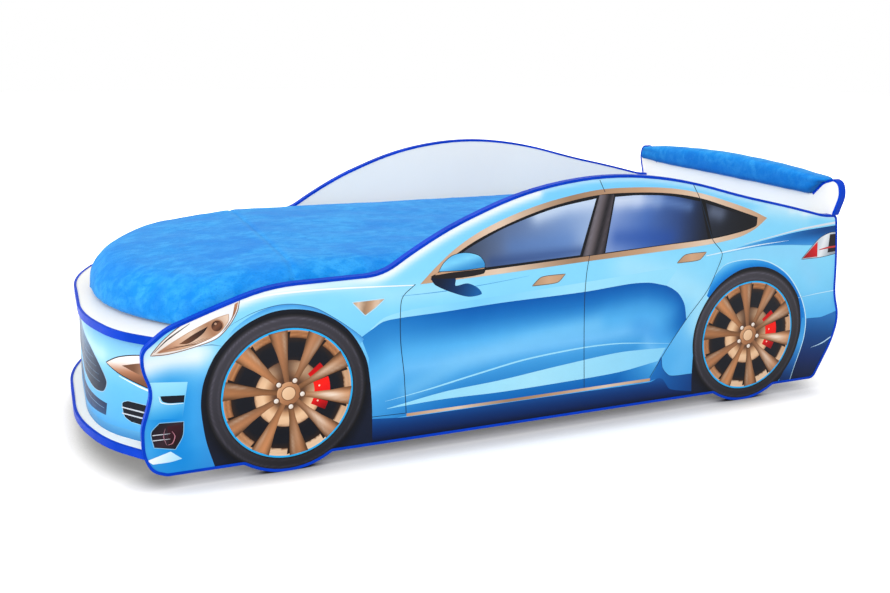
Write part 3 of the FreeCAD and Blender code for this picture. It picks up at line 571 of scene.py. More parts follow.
WHITE = (250, 252, 255)
INK_LINE = (26, 44, 66)
BLACK = (16, 17, 22)
CREASE = [(170, 112), (196, 128), (224, 144), (269, 149), (374, 153), (526, 161), (763, 168),
          (893, 177), (954, 175), (1006, 163), (1045, 140), (1068, 108), (1078, 66)]
BAND = [(192, 128), (228, 154), (290, 166), (373, 171), (560, 181), (862, 199), (960, 206), (1040, 208)]
DOOR_FRONT = [(302, 226), (271, 198), (266, 160), (268, 90), (278, 10), (285, -87)]
DOOR_MIDDLE = [(769, 262), (763, 215), (761, 150), (766, 40), (774, -86)]
DOOR_REAR = [(1058, 440), (1072, 419), (1097, 379), (1144, 275), (1172, 246), (1179, 232), (1172, 208),
             (1141, 141), (1078, 65), (1021, -11), (974, -83)]
REAR_SWEEP = [(1150, 170), (1194, 205), (1271, 213), (1340, 200), (1408, 160), (1462, 94), (1488, 29),
              (1487, -34), (1461, -119), (1450, -156)]
FRONT_SWEEP = [(-128, 170), (-121, 175), (-76, 195), (-26, 206), (15, 205), (62, 192),
               (109, 163), (153, 130), (178, 108)]
# The dark arches, from their own axle
FRONT_WELL = [(-187, 53), (-160, 110), (-110, 160), (-40, 191), (30, 192), (95, 169), (146, 126), (183, 61),
              (194, 1), (199, -60), (201, -160, 1), (-164, -160, 1), (-184, -92), (-192, -44), (-195, 3)]
REAR_WELL = [(-149, 108), (-167, 65), (-178, 7), (-179, -90), (-174, -160, 1), (112, -160, 1), (132, -133),
             (160, -78), (183, -22), (181, 36), (163, 96), (112, 153), (40, 187), (-40, 187), (-106, 154)]


class Inks:
    """Printed colours of the bodywork, 0 to 255."""

    def __init__(self, settings):
        for name in ("light", "body", "deep", "navy", "bronze", "ring"):
            setattr(self, name, printed(getattr(settings, name)))


def brush(colours, points, strokes):
    """Soft strokes over painted points: (line, reach, colour, strength)."""
    for line, reach, tint, strength in strokes:
        near = np.exp(-(distance(points, line) / reach) ** 2) * strength
        colours = toward(colours, tint, near)
    return colours


def bodywork(inks, border):
    """Ink of the whole side, before its crisp shapes."""
    ridge = border[(border[:, 1] > 190) & (border[:, 0] > -150) & (border[:, 0] < 620)]
    ridge = ridge[np.argsort(ridge[:, 0])] - (0, 9)
    roof = border[(border[:, 1] > 330) & (border[:, 0] > 600) & (border[:, 0] < 1560)]
    roof = roof[np.argsort(roof[:, 0])] - (0, 5)
    strokes = [
        (ridge, 13, WHITE, 0.97),
        (roof, 8, WHITE, 0.45),
        ([(-308, 98), (-262, 108), (-205, 112)], 30, WHITE, 0.95),
        ([(-300, 132), (-180, 118)], 16, (226, 246, 255), 0.6),
        ([(-180, 40), (-186, -60), (-176, -140)], 20, (48, 136, 214), 0.5),
        ([(60, 262), (240, 205), (420, 215)], 24, (176, 230, 252), 0.5),
        ([(880, 226), (1020, 176), (1120, 128), (1110, 40)], 44, (168, 228, 253), 0.8),
        ([(1040, 36), (1090, -20), (1070, -70)], 34, (104, 190, 246), 0.6),
        ([(-262, 24), (-262, -50), (-246, -112)], 54, (18, 136, 218), 0.92),
        ([(1200, 300), (1320, 345), (1450, 322)], 26, (186, 234, 253), 0.6),
        ([(1330, 350), (1400, 340)], 14, (214, 240, 254), 0.3),
        ([(1400, 339), (1450, 332)], 11, (230, 246, 255), 0.5),
        ([(1450, 332), (1560, 316)], 10, (240, 250, 255), 0.85),
        ([(1230, 224), (1330, 236), (1430, 222), (1500, 140)], 26, (140, 212, 250), 0.7),
        ([(1590, 200), (1596, 60)], 16, (84, 172, 232), 0.6),
    ]

    def ink(points):
        stops = [(-160, 0.5 * inks.body + 0.5 * inks.deep), (-90, inks.body), (20, inks.body),
                 (110, inks.light * 0.75 + inks.body * 0.25), (190, inks.light), (260, inks.light),
                 (420, inks.light * 0.7 + inks.body * 0.3)]
        return brush(ramp(points[:, 1], stops), points, strokes)
    return ink


def door_shade(inks):
    """Below the shoulder crease the doors go from deep blue to a lit belly and back."""
    def ink(points):
        drop = distance(points, CREASE)
        low = ramp(drop, [(0, inks.deep), (34, inks.deep * 0.7 + inks.body * 0.3), (86, inks.body),
                          (126, (112, 192, 247)), (158, inks.body * 0.8 + inks.deep * 0.2),
                          (214, inks.deep * 0.6 + inks.body * 0.4), (270, inks.deep)])
        front = np.clip((points[:, 0] - 180) / 260, 0, 1)
        low = toward(low, inks.body, 0.45 * (1 - front))
        return brush(low, points, [
            ([(290, -30), (420, 20), (620, 60), (800, 78)], 26, (128, 204, 250), 0.55),
            ([(840, 96), (940, 110), (1020, 90)], 34, inks.body, 0.35),
            ([(930, 60), (1000, 30)], 30, (60, 150, 226), 0.5),
        ])
    return ink


def bronze_ink(inks, start, end):
    pale = inks.bronze * 0.45 + np.array((255, 240, 225)) * 0.55
    return fade(start, end, inks.bronze, pale, inks.bronze * 0.82, inks.bronze, pale, inks.bronze)


def arc_of(centre, radius, start, end, count):
    angles = np.linspace(start, end, count)
    return [(centre[0] + radius * math.cos(a), centre[1] + radius * math.sin(a)) for a in angles]


def lay_body(film, inks):
    """Panels of the side, from the whole face to the shapes that lie on it."""
    film.lay(film.border, bodywork(inks, film.border), 0, 8.0)
    shade = between(CREASE, [(190, 60), (190, -20), (190, -90), (286, -93), (620, -92), (900, -92), (974, -88),
        (1021, -11), (1060, 42), (1078, 64)])
    film.lay(shade, door_shade(inks), 1, 9.0)
    film.strip(BAND, CREASE[1:10], fade((190, 150), (1000, 190), (160, 226, 252), (126, 208, 250),
        (158, 226, 252), (150, 222, 252)), 2, 12.0)
    flare = between([(-150, 122), (-121, 162), (-76, 191)] + FRONT_SWEEP[3:], arc_of((0, 0), 184, 2.46, 0.50, 16))
    film.lay(flare, lambda p: ramp(distance(p, FRONT_SWEEP), [(0, (66, 150, 222)), (10, (96, 184, 240)),
        (30, (140, 214, 250))]), 2, 7.0)
    rear = np.array([WHEELBASE, 0])
    film.strip([(1139, 124), (1158, 172)] + REAR_SWEEP[1:-1], arc_of(rear, 182, 2.45, -0.62, 22),
        around(rear, [(190, (12, 118, 208)), (204, (46, 150, 226)), (224, (112, 198, 246))]), 2, 7.0)
    # Sill, and the darker foot of both bumpers
    sill = between([(190, -88), (286, -96), (620, -96), (975, -96), (1010, -88), (1041, -122), (1126, -140)],
        [(190, -160), (500, -160), (800, -160), (1126, -160)])
    film.lay(sill, lambda p: ramp(-p[:, 1], [(92, (18, 78, 150)), (112, (12, 54, 116)), (134, inks.navy),
        (150, (4, 12, 34))]), 2, 8.0)
    film.strip([(972, -90), (990, -62), (1006, -30), (1014, -64), (1038, -86), (1126, -90)],
        [(972, -94), (1011, -90), (1041, -123), (1126, -141)],
        fade((980, -60), (1110, -120), (30, 116, 196), (20, 84, 156), (14, 62, 128)), 2.4, 8.0)
    film.strip([(1475, 30), (1471, -22), (1448, -78), (1418, -133), (1410, -160)],
        [(1490, 30), (1487, -34), (1474, -84), (1461, -119), (1448, -160)],
        fade((1480, 20), (1430, -140), (52, 150, 222), (70, 160, 226), (30, 100, 172), (10, 44, 96)), 2.6, 8.0)
    film.strip([(1484, 20), (1492, 27), (1543, 26), (1570, 32), (1625, 46)], [(1440, -160), (1620, -160)],
        fade((1530, 36), (1500, -150), (40, 112, 184), (12, 66, 128), inks.navy * 1.1, inks.navy * 0.6), 2, 8.0)
    film.strip([(-301, 63, 1), (-222, 55, 1)], [(-308, -20, 1), (-235, -26, 1)],
        fade((-290, 60), (-276, -26), (160, 228, 252), (128, 208, 246), (34, 148, 224)), 2, 7.0)
    trunk = between([(1179, 236), (1239, 250), (1321, 263), (1434, 279), (1572, 289)], [(1179, 234), (1229, 240),
        (1323, 246), (1409, 243), (1468, 238), (1572, 232)])
    film.lay(trunk, lambda p: ramp(np.clip((p[:, 0] - 1190) / 340, 0, 1) * np.clip(1.25 - distance(p,
        [(1239, 251), (1434, 279), (1570, 289)]) / 50, 0.25, 1), [(0, (112, 194, 242)), (0.5, (44, 128, 204)),
        (1, (4, 62, 126))]), 2, 7.0)
    film.stroke([(1250, 256), (1340, 270), (1440, 285), (1572, 297)], [0.6, 2.5, 5, 7], (216, 226, 236), 3)


def glass(low, run, stops, strokes):
    """Ink of a pane, from its front end along the bed, with what it reflects."""
    return lambda points: brush(ramp(np.clip((points[:, 0] - low) / run, 0, 1), stops), points, strokes)


def lay_windows(film, inks):
    """Bronze trim, the panes and the pillar between the doors."""
    trim = [(314, 225, 1), (352, 262), (404, 305), (470, 343), (560, 378), (657, 404), (783, 424), (900, 425),
        (1000, 418), (1090, 402), (1180, 376), (1260, 349), (1319, 323, 1), (1282, 296), (1232, 277), (1143, 264),
        (1000, 256), (769, 246), (520, 233)]
    film.shape(trim, bronze_ink(inks, (320, 240), (1320, 330)), 3, 22.0)
    film.shape([(348, 240, 1), (392, 282), (460, 322), (560, 362), (660, 391), (783, 411), (900, 412),
        (1000, 405), (1090, 389), (1180, 362), (1286, 327, 1), (1284, 304), (1232, 290), (1143, 278), (1000, 271),
        (769, 259), (480, 245)], BLACK, 4)
    film.shape([(398, 278, 1), (440, 304), (528, 344), (657, 383), (779, 403, 1), (741, 263, 1), (484, 252, 1)],
        glass(400, 380, [(0, (56, 64, 80)), (0.35, (92, 112, 150)), (0.75, (118, 148, 198)),
        (1, (158, 182, 220))], [([(620, 372), (700, 392), (776, 398)], 24, (206, 222, 244), 0.85),
        ([(560, 296), (700, 300)], 30, (84, 124, 188), 0.55),
        ([(500, 262), (740, 272)], 16, (40, 66, 122), 0.6)]), 5, 9.0)
    film.shape([(834, 404, 1), (900, 405), (1000, 398), (1096, 379, 1), (1128, 279, 1), (814, 264, 1)], glass(830,
        290, [(0, (124, 150, 204)), (0.35, (72, 108, 178)), (0.7, (46, 70, 122)), (1, (22, 28, 42))],
        [([(840, 394), (900, 398)], 24, (222, 232, 248), 0.8),
        ([(900, 394), (960, 390)], 20, (196, 212, 242), 0.6),
        ([(960, 390), (1060, 368)], 14, (112, 146, 204), 0.55),
        ([(850, 300), (1000, 290)], 26, (34, 74, 160), 0.55)]), 5, 9.0)
    film.shape([(1112, 374, 1), (1190, 350), (1272, 324, 1), (1274, 306), (1232, 293), (1144, 281, 1)],
        glass(1110, 150, [(0, (34, 40, 54)), (1, (14, 15, 20))],
        [([(1140, 350), (1160, 344)], 22, (112, 124, 150), 0.7)]), 5, 8.0)
    film.shape([(788, 411, 1), (830, 411, 1), (811, 262, 1), (749, 260, 1)], fade((760, 330), (824, 316),
        (34, 30, 34), (116, 110, 118), (92, 84, 88), (30, 28, 32), (78, 72, 78), (26, 24, 28)), 5, 7.0)
    film.stroke([(786, 448), (803, 418)], [1.6, 1.6], INK_LINE, 7, step=6)
    film.shape([(1098, 384, 1), (1110, 381, 1), (1142, 279, 1), (1130, 278, 1)], (12, 12, 16), 6)


def lay_lines(film, inks):
    """Door gaps, creases, stripes, handles, vent and mirror."""
    for line in (DOOR_FRONT, DOOR_MIDDLE, DOOR_REAR):
        film.stroke(line, [1.7, 1.7], INK_LINE, 7, step=6)
    film.stroke(FRONT_SWEEP, [0.4, 1.5, 1.8, 1.5, 0.6], (58, 110, 160), 4)
    film.stroke(REAR_SWEEP, [0.4, 2.6, 3.0, 3.4, 2.6, 1.0], (196, 236, 253), 4)
    film.stroke([(-98, 222), (-40, 231), (60, 233), (170, 230), (298, 224)], [3, 4, 4, 3, 2], WHITE, 4)
    film.stroke([(-197, 131), (-170, 132), (-146, 126)], [0.6, 1.6, 0.6], (70, 120, 165), 4)
    film.stroke([(268, 201), (372, 203), (500, 212), (600, 222)], [0.6, 2.0, 1.4, 0.4], (70, 156, 218), 4)
    film.stroke([(1127, 233), (1182, 239), (1295, 250), (1400, 256)], [2, 4, 2.5, 0.5], (222, 244, 255), 5)
    film.stroke([(1454, 90), (1516, 96), (1592, 101)], [0.8, 2.4, 3], (186, 230, 252), 4)
    film.stroke([(1518, -61), (1556, -52), (1590, -36)], [0.5, 3.2, 3.2], (186, 222, 248), 5)
    # Two pale stripes that open towards the rear wheel
    film.strip([(236, -68), (380, -46), (534, -35), (697, -18), (876, -3), (1018, -6)],
        [(236, -69), (380, -64), (535, -66), (740, -62), (880, -56), (997, -40)],
        fade((240, -60), (1010, 0), (150, 222, 251), (168, 230, 252), (140, 214, 250)), 3, 16.0)
    film.stroke([(231, -50), (336, -35), (466, -12), (601, 10), (767, 22), (875, 21), (1034, 4)],
        [0.6, 4.2, 4.2, 4, 3, 0.6], (156, 224, 252), 3)
    film.stroke([(286, -91), (620, -91), (975, -89)], [7.5, 7.5, 7.5], bronze_ink(inks, (280, -90), (980, -90)),
        5, 9.0, step=12)
    film.stroke([(200, -84), (286, -86)], [1.5, 1.5], INK_LINE, 5)
    film.stroke([(1006, -30), (1013, -62), (1038, -86), (1110, -89)], [1.2, 1.8, 1.8, 1.8], (18, 74, 140), 5)
    # Handles, wing vent and mirror
    for x, z in ((611, 196), (1036, 221)):
        bar = [(x, z, 1), (x + 24, z + 19), (x + 90, z + 22, 1), (x + 70, z + 4)]
        film.rimmed(smooth_line(bar, True, 5), 1.6, (96, 74, 60), 6,
            fade((x, z), (x + 90, z + 22), inks.bronze * 0.92, inks.bronze * 1.08, inks.bronze), 14.0)
    vent = smooth_line([(150, 196, 1), (226, 198, 1), (205, 180, 1), (180, 164, 1)], True)
    film.rimmed(vent, 2.5, (176, 226, 250), 5, bronze_ink(inks, (150, 190), (222, 180)), 10.0)
    film.shape([(340, 236, 1), (362, 250), (404, 232), (404, 214), (436, 217), (464, 203), (474, 188), (440, 184),
        (392, 200), (352, 220)], fade((360, 230), (460, 190), (14, 24, 44), (14, 50, 96), (24, 92, 160)), 6, 9.0)
    film.shape([(340, 240), (372, 252), (430, 254), (481, 252), (478, 238), (420, 232), (366, 234)], (30, 26, 28),
        7)
    film.stroke([(352, 246), (400, 250), (478, 252)], [5, 6, 5], inks.bronze, 8)
    shell = [(361, 252, 1), (373, 271), (395, 287), (430, 291), (464, 281), (478, 264), (479, 253, 1), (420, 250)]
    film.rimmed(smooth_line(shell, True, 5), 1.5, INK_LINE, 8,
        fade((400, 292), (410, 250), (92, 178, 232), (126, 212, 250), (60, 146, 210)), 8.0)


def lay_lamps(film, inks):
    """Front lamp, slots of the bumper, fog lamp and tail lamp."""
    lamp = [(-297, 122, 1), (-270, 152), (-222, 187), (-168, 211), (-108, 226, 1), (-114, 200), (-134, 168),
        (-160, 145), (-214, 130), (-262, 122)]
    film.rimmed(smooth_line(lamp, True, 5), 2.0, (120, 84, 66), 4,
        fade((-290, 124), (-120, 200), (228, 214, 206), (255, 255, 255), (238, 240, 244)), 9.0)
    film.shape([(-118, 218, 1), (-110, 222, 1), (-116, 200), (-134, 170), (-148, 156, 1), (-126, 186)],
        fade((-112, 220), (-140, 160), (190, 132, 96), (92, 58, 42)), 6, 6.0, step=4)
    film.stroke([(-290, 128), (-262, 153), (-214, 184)], [1.0, 3.2, 1.0], (54, 38, 32), 6, step=5)
    bowl = [(-284, 126, 1), (-250, 146), (-206, 169), (-160, 189), (-132, 196, 1), (-134, 180), (-154, 157),
        (-184, 143), (-226, 131)]
    film.rimmed(smooth_line(bowl, True, 5), 1.6, (196, 158, 132), 6, fade((-280, 120), (-140, 196),
        (150, 100, 74), (206, 158, 128), (226, 196, 172), (170, 122, 92), (232, 206, 186)), 6.0)
    film.shape([(-238, 141, 1), (-206, 160), (-176, 174, 1), (-186, 160), (-204, 147), (-220, 140)],
        fade((-230, 140), (-180, 172), (112, 72, 52), (34, 24, 24)), 8, 6.0, step=4)
    for shift in (0, 9, 18):
        film.stroke([(-268 + shift, 131 + 0.3 * shift), (-222 + shift, 137), (-186 + shift, 148)],
            [0.5, 1.3, 0.5], (108, 70, 52), 8, step=5)
    lens = (-157, 173)
    film.lay(disc(lens, 14.5, 30), (176, 128, 98), 9)
    film.lay(disc(lens, 12, 30), fade((-166, 184), (-148, 162), (28, 18, 18), (120, 76, 56), (58, 38, 32)), 10,
        4.0)
    film.lay(disc((-160, 178), 2.6, 14), (190, 150, 124), 11)
    film.shape([(-280, 30, 1), (-229, 26, 1), (-231, 10, 1), (-262, 12), (-276, 18)], (18, 22, 34), 4, step=4)
    film.stroke([(-283, 30), (-279, 16), (-262, 10), (-232, 8)], [1.0, 2.4, 2.4, 1.0], (228, 244, 253), 5, step=4)
    fog = smooth_line([(-301, -50), (-284, -31, 1), (-233, -34, 1), (-236, -66), (-252, -94, 1), (-296, -84, 1)],
        True, 4)
    film.rimmed(fog, 1.6, (132, 190, 226), 4, fade((-300, -40), (-236, -90), (20, 20, 28), (52, 34, 44),
        (16, 16, 22)), 8.0)
    film.shape([(-268, -40, 1), (-238, -40, 1), (-240, -66), (-252, -86, 1), (-264, -84, 1)],
        fade((-266, -40), (-246, -80), (58, 22, 34), (34, 14, 20)), 6, 6.0, step=4)
    for z in (-56, -68):
        film.stroke([(-299, z), (-262, z - 1)], [2.2, 1.8, 0.6], (206, 210, 220), 7, step=8)
    film.stroke([(-272, -44), (-276, -62), (-270, -82)], [0.6, 1.8, 0.6], (170, 120, 136), 7, step=5)
    film.stroke([(-258, -52), (-252, -64), (-258, -80), (-268, -82)], [0.6, 1.8, 1.8, 0.6], (196, 130, 146), 7,
        step=5)
    film.shape([(-312, -112, 1), (-262, -98, 1), (-238, -118, 1), (-262, -122), (-300, -122, 1)],
        fade((-300, -100), (-250, -124), (250, 252, 255), (176, 226, 250)), 4, 9.0, step=5)
    tail = smooth_line([(1453, 200, 1), (1487, 234), (1513, 256), (1548, 268), (1600, 268, 1), (1600, 212, 1),
        (1526, 202)], True, 5)
    film.rimmed(tail, 1.6, (22, 40, 66), 4, fade((1490, 240), (1560, 220), (176, 190, 204), (236, 240, 244),
        (150, 160, 172)), 8.0)
    film.shape([(1456, 202, 1), (1484, 228), (1504, 246, 1), (1508, 203, 1)],
        fade((1460, 200), (1504, 240), (150, 24, 30), (226, 40, 44)), 6, 8.0, step=5)
    film.shape([(1546, 264, 1), (1600, 264, 1), (1600, 216, 1), (1544, 212, 1)], (30, 26, 32), 6, step=6)
    film.stroke([(1512, 222), (1540, 226), (1572, 228)], [2, 5, 5], (196, 60, 60), 7)


# Each spoke and the shadow beside it: out from the hub, and across
SPOKE = [(20, 5.5), (60, 7.5), (98, 13.5), (126, 20.5), (146.5, 25), (146.5, -19), (126, -16.5), (98, -12),
         (60, -7.5), (20, -5.5)]
SPOKE_SHADOW = [(30, -2), (70, -9), (110, -16), (142, -25), (142, -10), (30, 2)]
SPOKES, SPOKE_TURN = 10, 98
TYRE_TONES = [148, 153, 158, 161, 171, 174, 178, 183], [20, 44, 62, 50, 52, 74, 38, 20]
NUTS, NUT_TURN, NUT_RING = 5, 63, 32
TYRE_RADIUS, RING_RADIUS, RIM_RADIUS, RIM_INSIDE, BRAKE_RADIUS = 183.5, 151.5, 147.0, 129.5, 78


def lay_wheel(film, inks, axle):
    """A ten-spoke wheel with its tyre and brake, in the dark arch."""
    hub = np.array([axle, 0.0])
    line = FRONT_WELL if axle == 0 else REAR_WELL
    well = smooth_line([(axle + p[0],) + tuple(p[1:]) for p in line], True)
    film.lay(well, around(hub, [(150, (14, 16, 24)), (186, (10, 12, 20)), (205, (20, 26, 44))]), 3, 14.0)

    def tyre(points):
        lit = np.cos(turn_of(points, hub) - 2.0) * 0.5 + 0.5
        tone = np.interp(from_hub(points, hub), *TYRE_TONES) * (0.72 + 0.5 * lit)
        return np.stack([tone, tone * 0.97, tone * 1.1], 1)
    film.lay(disc(hub, TYRE_RADIUS, 120), tyre, 5, 4.0)
    film.lay(disc(hub, RING_RADIUS, 110), inks.ring, 6)

    def rim(points):
        r = from_hub(points, hub)
        angle = turn_of(points, hub)
        lit = np.clip(0.5 + 0.5 * np.cos(angle + 1.1), 0, 1) ** 3
        lit = lit + 0.35 * np.clip(np.cos(3 * angle - 0.6), 0, 1) ** 4
        tone = ramp(np.clip(r / RIM_RADIUS, 0, 1), [(0, (60, 38, 28)), (0.88, (88, 54, 34)),
            (0.92, (188, 128, 84)), (0.965, (150, 96, 60)), (1, (204, 148, 104))])
        return toward(tone, (252, 224, 192), 0.75 * np.clip(lit, 0, 1) * (r > 131))
    film.lay(disc(hub, RIM_RADIUS, 110), rim, 7, 5.0)
    film.lay(disc(hub, RIM_INSIDE, 90), around(hub, [(0, (64, 46, 38)), (76, (40, 30, 28)), (84, (15, 16, 24)),
        (118, (16, 18, 26)), (129, (44, 30, 24))]), 8, 10.0)

    def brake(points):
        turn = turn_of(points, hub)
        tone = ramp(from_hub(points, hub), [(34, (96, 66, 48)), (46, (196, 146, 106)), (58, (240, 200, 160)),
            (74, (232, 188, 148)), (78, (150, 110, 82))])
        return toward(tone, (70, 46, 34), 0.85 * np.clip(np.cos(turn - 1.75), 0, 1) ** 8
                      + 0.5 * np.clip(np.cos(turn - 0.5), 0, 1) ** 6)
    film.lay(disc(hub, BRAKE_RADIUS, 60), brake, 9, 6.0)
    caliper = np.vstack([disc(hub, 97, 14, -0.52, 1.24), disc(hub, 60, 12, 0.74, -1.28)])
    film.lay(caliper, fade(hub + (62, 50), hub + (92, -46), (196, 16, 22), (252, 34, 26), (236, 26, 28),
        (122, 10, 18)), 10, 7.0)
    for n, turn in enumerate((-0.36, -0.12, 0.14, 0.4)):
        film.lay(disc(hub + (72 + 5 * (n % 2)) * heading(turn), 2.2, 12), (255, 214, 190), 11)
    for n in range(SPOKES):
        angle = math.radians(SPOKE_TURN + 360 / SPOKES * n)
        out = heading(angle)
        side = np.array((-out[1], out[0]))
        film.lay([hub + out * r + side * w for r, w in SPOKE_SHADOW], (34, 22, 18), 11)
        film.lay([hub + out * r + side * w for r, w in SPOKE],
            spoke_ink(hub, out, side, 0.5 + 0.5 * math.cos(angle + 0.25), n), 12, 5.0)
    film.lay(disc(hub, 27, 36), fade(hub + (-24, 20), hub + (24, -20), (224, 172, 130), (176, 122, 84),
        (150, 100, 68)), 13, 8.0)
    for n in range(NUTS):
        spot = hub + NUT_RING * heading(math.radians(NUT_TURN + 360 / NUTS * n))
        film.lay(disc(spot, 8.2, 18), (104, 70, 48), 14)
        film.lay(disc(spot, 5.4, 18), fade(spot + (-5, 5), spot + (5, -5), (255, 252, 248), (214, 190, 170)), 15)
    film.lay(disc(hub, 17, 30), (126, 88, 60), 14)
    film.lay(disc(hub, 15.2, 30), fade(hub + (-14, 12), hub + (14, -12), (244, 206, 168), (222, 178, 138)), 15,
        8.0)


def spoke_ink(hub, out, side, lit, n):
    """A bronze spoke: dark along one edge, a soft ridge of light, brightest where it faces the light."""
    base = np.array(((158, 108, 74), (176, 120, 80), (148, 100, 66))[n % 3], float)

    def ink(points):
        away = np.clip(((points - hub) @ out - 20) / 126, 0, 1)
        across = (points - hub) @ side / (7 + 14 * away)
        tone = ramp(np.clip(across, -1, 1), [(-1, 0.5 * base), (-0.78, 0.74 * base), (-0.3, base),
                                             (0.35, 1.18 * base), (0.8, 0.96 * base), (1, 0.62 * base)])
        tone = toward(tone, 0.55 * base, 0.5 * (1 - away) ** 2)
        shine = np.exp(-((across - 0.15) / 0.42) ** 2) * np.exp(-((away - 0.62) / 0.3) ** 2) * lit ** 4
        glint = np.exp(-((across + 0.45) / 0.2) ** 2) * np.exp(-((away - 0.8) / 0.25) ** 2) * 0.35
        return toward(tone, (255, 240, 224), np.clip(0.92 * shine + glint, 0, 1))
    return ink


def lay_wheels(film, inks):
    for axle in (0, WHEELBASE):
        lay_wheel(film, inks, axle)


def side_films(side, settings):
    """The five prints of one side: bodywork, windows, lines, lamps and wheels."""
    name = "left" if side < 0 else "right"
    inks = Inks(settings)
    face = side * 0.420
    loop = face_border("side_panel_" + name, 1, face)
    border = np.stack([loop[:, 0] / MM - FRONT_AXLE[0], loop[:, 2] / MM - FRONT_AXLE[1]], 1)
    border = grow(border, -0.4)

    def spot(points, lift):
        return np.stack([(points[:, 0] + FRONT_AXLE[0]) * MM, np.full(len(points), face + side * lift * MM),
                         (points[:, 1] + FRONT_AXLE[1]) * MM], 1)
    films = []
    for what, lay in (("bodywork", lay_body), ("windows", lay_windows), ("lines", lay_lines),
                      ("lamps", lay_lamps), ("wheel", lay_wheels)):
        film = Film(what + "_print_" + name, spot, border, side > 0)
        lay(film, inks)
        films.append(film)
    return films


# ------------------------------------------------------------------ the nose print

def nose_front():
    """The bent sheet's front face in millimetres: places across the bed, and how far forward each is."""
    mesh = NODES["nose_fascia"].data
    rows = {}
    for vertex in mesh.vertices:
        y = round(vertex.co.y / MM, 1)
        rows[y] = min(rows.get(y, 1e9), vertex.co.x / MM)
    ys = sorted(rows)
    xs = [rows[y] for y in ys]
    # The sheet's ends carry both faces at nearly one y; the front one is the lower hull
    keep = [n for n in range(len(ys)) if n in (0, len(ys) - 1) or xs[n] <= np.interp(
        ys[n], [ys[n - 1], ys[n + 1]], [xs[n - 1], xs[n + 1]]) + 0.05]
    return np.array([ys[n] for n in keep]), np.array([xs[n] for n in keep])


def lay_nose(film, inks):
    """The nose: lamps that run on from the sides, a grille, a low slot and an intake on each side."""
    def body(points):
        tone = ramp(points[:, 1], [(80, (60, 140, 204)), (120, (88, 172, 226)), (200, (100, 184, 232)),
            (270, (142, 204, 238)), (322, (112, 180, 226))])
        return brush(tone, points, [([(-250, 262), (0, 274), (250, 262)], 22, (204, 234, 252), 0.6),
                                    ([(-402, 200), (-402, 120)], 40, (132, 210, 250), 0.6),
                                    ([(402, 200), (402, 120)], 40, (132, 210, 250), 0.6)])
    film.lay(film.border, body, 0, 12.0)
    film.strip([(-402, 108), (-200, 101), (0, 98), (200, 101), (402, 108)],
        [(-402, 84), (-200, 84), (0, 84), (200, 84), (402, 84)],
        fade((0, 108), (0, 84), (92, 166, 214), (58, 124, 178)), 1)
    half = [(110, 283), (188, 264), (236, 236), (263, 202), (250, 176), (206, 169), (120, 180)]
    grille = smooth_line([(0, 289)] + half + [(0, 185)] + [(-y, z) for y, z in half[::-1]], True)
    film.rimmed(grille, 2, (150, 188, 216), 1, lambda p: toward(ramp((p[:, 1] - 170) / 120, [(0, (22, 34, 54)),
        (0.5, (44, 70, 102)), (1, (86, 128, 164))]), (24, 36, 56), (np.abs(p[:, 0]) - 150) / 110))
    for z, reach in ((196, 236), (212, 232), (228, 222), (244, 204), (260, 172)):
        film.stroke([(-reach, z - 2), (0, z + 3), (reach, z - 2)], [0.6, 2.4, 0.6], (112, 146, 178), 3)
    film.shape([(-262, 150, 1), (0, 155), (262, 150, 1), (256, 120, 1), (150, 113), (0, 109), (-150, 113),
        (-256, 120, 1)], fade((0, 154), (0, 110), (18, 40, 76), (42, 76, 116)), 2)
    film.stroke([(-250, 135), (0, 138), (250, 135)], [1, 2, 1], (120, 160, 196), 3)
    for side in (-1, 1):
        def place(points):
            return [(side * p[0],) + tuple(p[1:]) for p in points]
        lamp = place([(402, 286, 1), (352, 284), (304, 270), (266, 248, 1), (310, 229), (360, 215),
            (402, 210, 1)])
        film.rimmed(smooth_line(lamp, True, 5), 2.5, (34, 30, 34), 2, fade((side * 340, 284), (side * 350, 226),
            (252, 252, 254), (236, 226, 220), (176, 122, 92), (120, 78, 56)), 9.0)
        film.shape(place([(402, 268, 1), (356, 268), (308, 252, 1), (352, 238), (402, 232, 1)]),
            fade((side * 334, 262), (side * 402, 256), (110, 74, 54), (196, 150, 122), (70, 46, 36)), 4, 8.0,
            step=5)
        film.shape(place([(402, 262, 1), (384, 262), (358, 252, 1), (384, 244), (402, 243, 1)]), (30, 22, 24), 5,
            step=4)
        film.stroke(place([(300, 226), (352, 210), (402, 202)]), [1, 4, 5], (240, 248, 254), 3)
        intake = place([(402, 172, 1), (318, 172, 1), (306, 164), (310, 134), (324, 125, 1), (402, 121, 1)])
        film.rimmed(smooth_line(intake, True, 6), 1.5, (150, 200, 230), 2, (16, 20, 30))
        for z in (140, 154):
            film.stroke(place([(304, z), (352, z), (402, z - 1)]), [3.0, 3.6, 3.0], (196, 204, 214), 4)


# How much of the sheet's edge each shelf's groove hides
IN_GROOVE = 5.2


def nose_film(settings):
    """The print of the nose, laid on the bent sheet's front face between the shelves."""
    ys, xs = smooth_line(list(zip(*nose_front())), step=2.0).T
    slope = np.gradient(xs, ys)
    low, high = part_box("nose_fascia")
    end, foot, head = ys[-1] - 0.4, low.z / MM + IN_GROOVE, high.z / MM - IN_GROOVE
    across = np.linspace(-end, end, 160)
    border = np.vstack([np.stack([across, np.full(160, foot)], 1),
                        np.stack([across[::-1], np.full(160, head)], 1)])

    def spot(points, lift):
        x = np.interp(points[:, 0], ys, xs)
        tilt = np.interp(points[:, 0], ys, slope)
        side = np.hypot(1, tilt)
        return np.stack([x - (NOSE_RISE * lift + NOSE_STAND) * side, points[:, 0], points[:, 1]], 1) * MM
    film = Film("nose_print", spot, border, True, 7.0)
    lay_nose(film, Inks(settings))
    return film


# ------------------------------------------------------------------ soft pieces

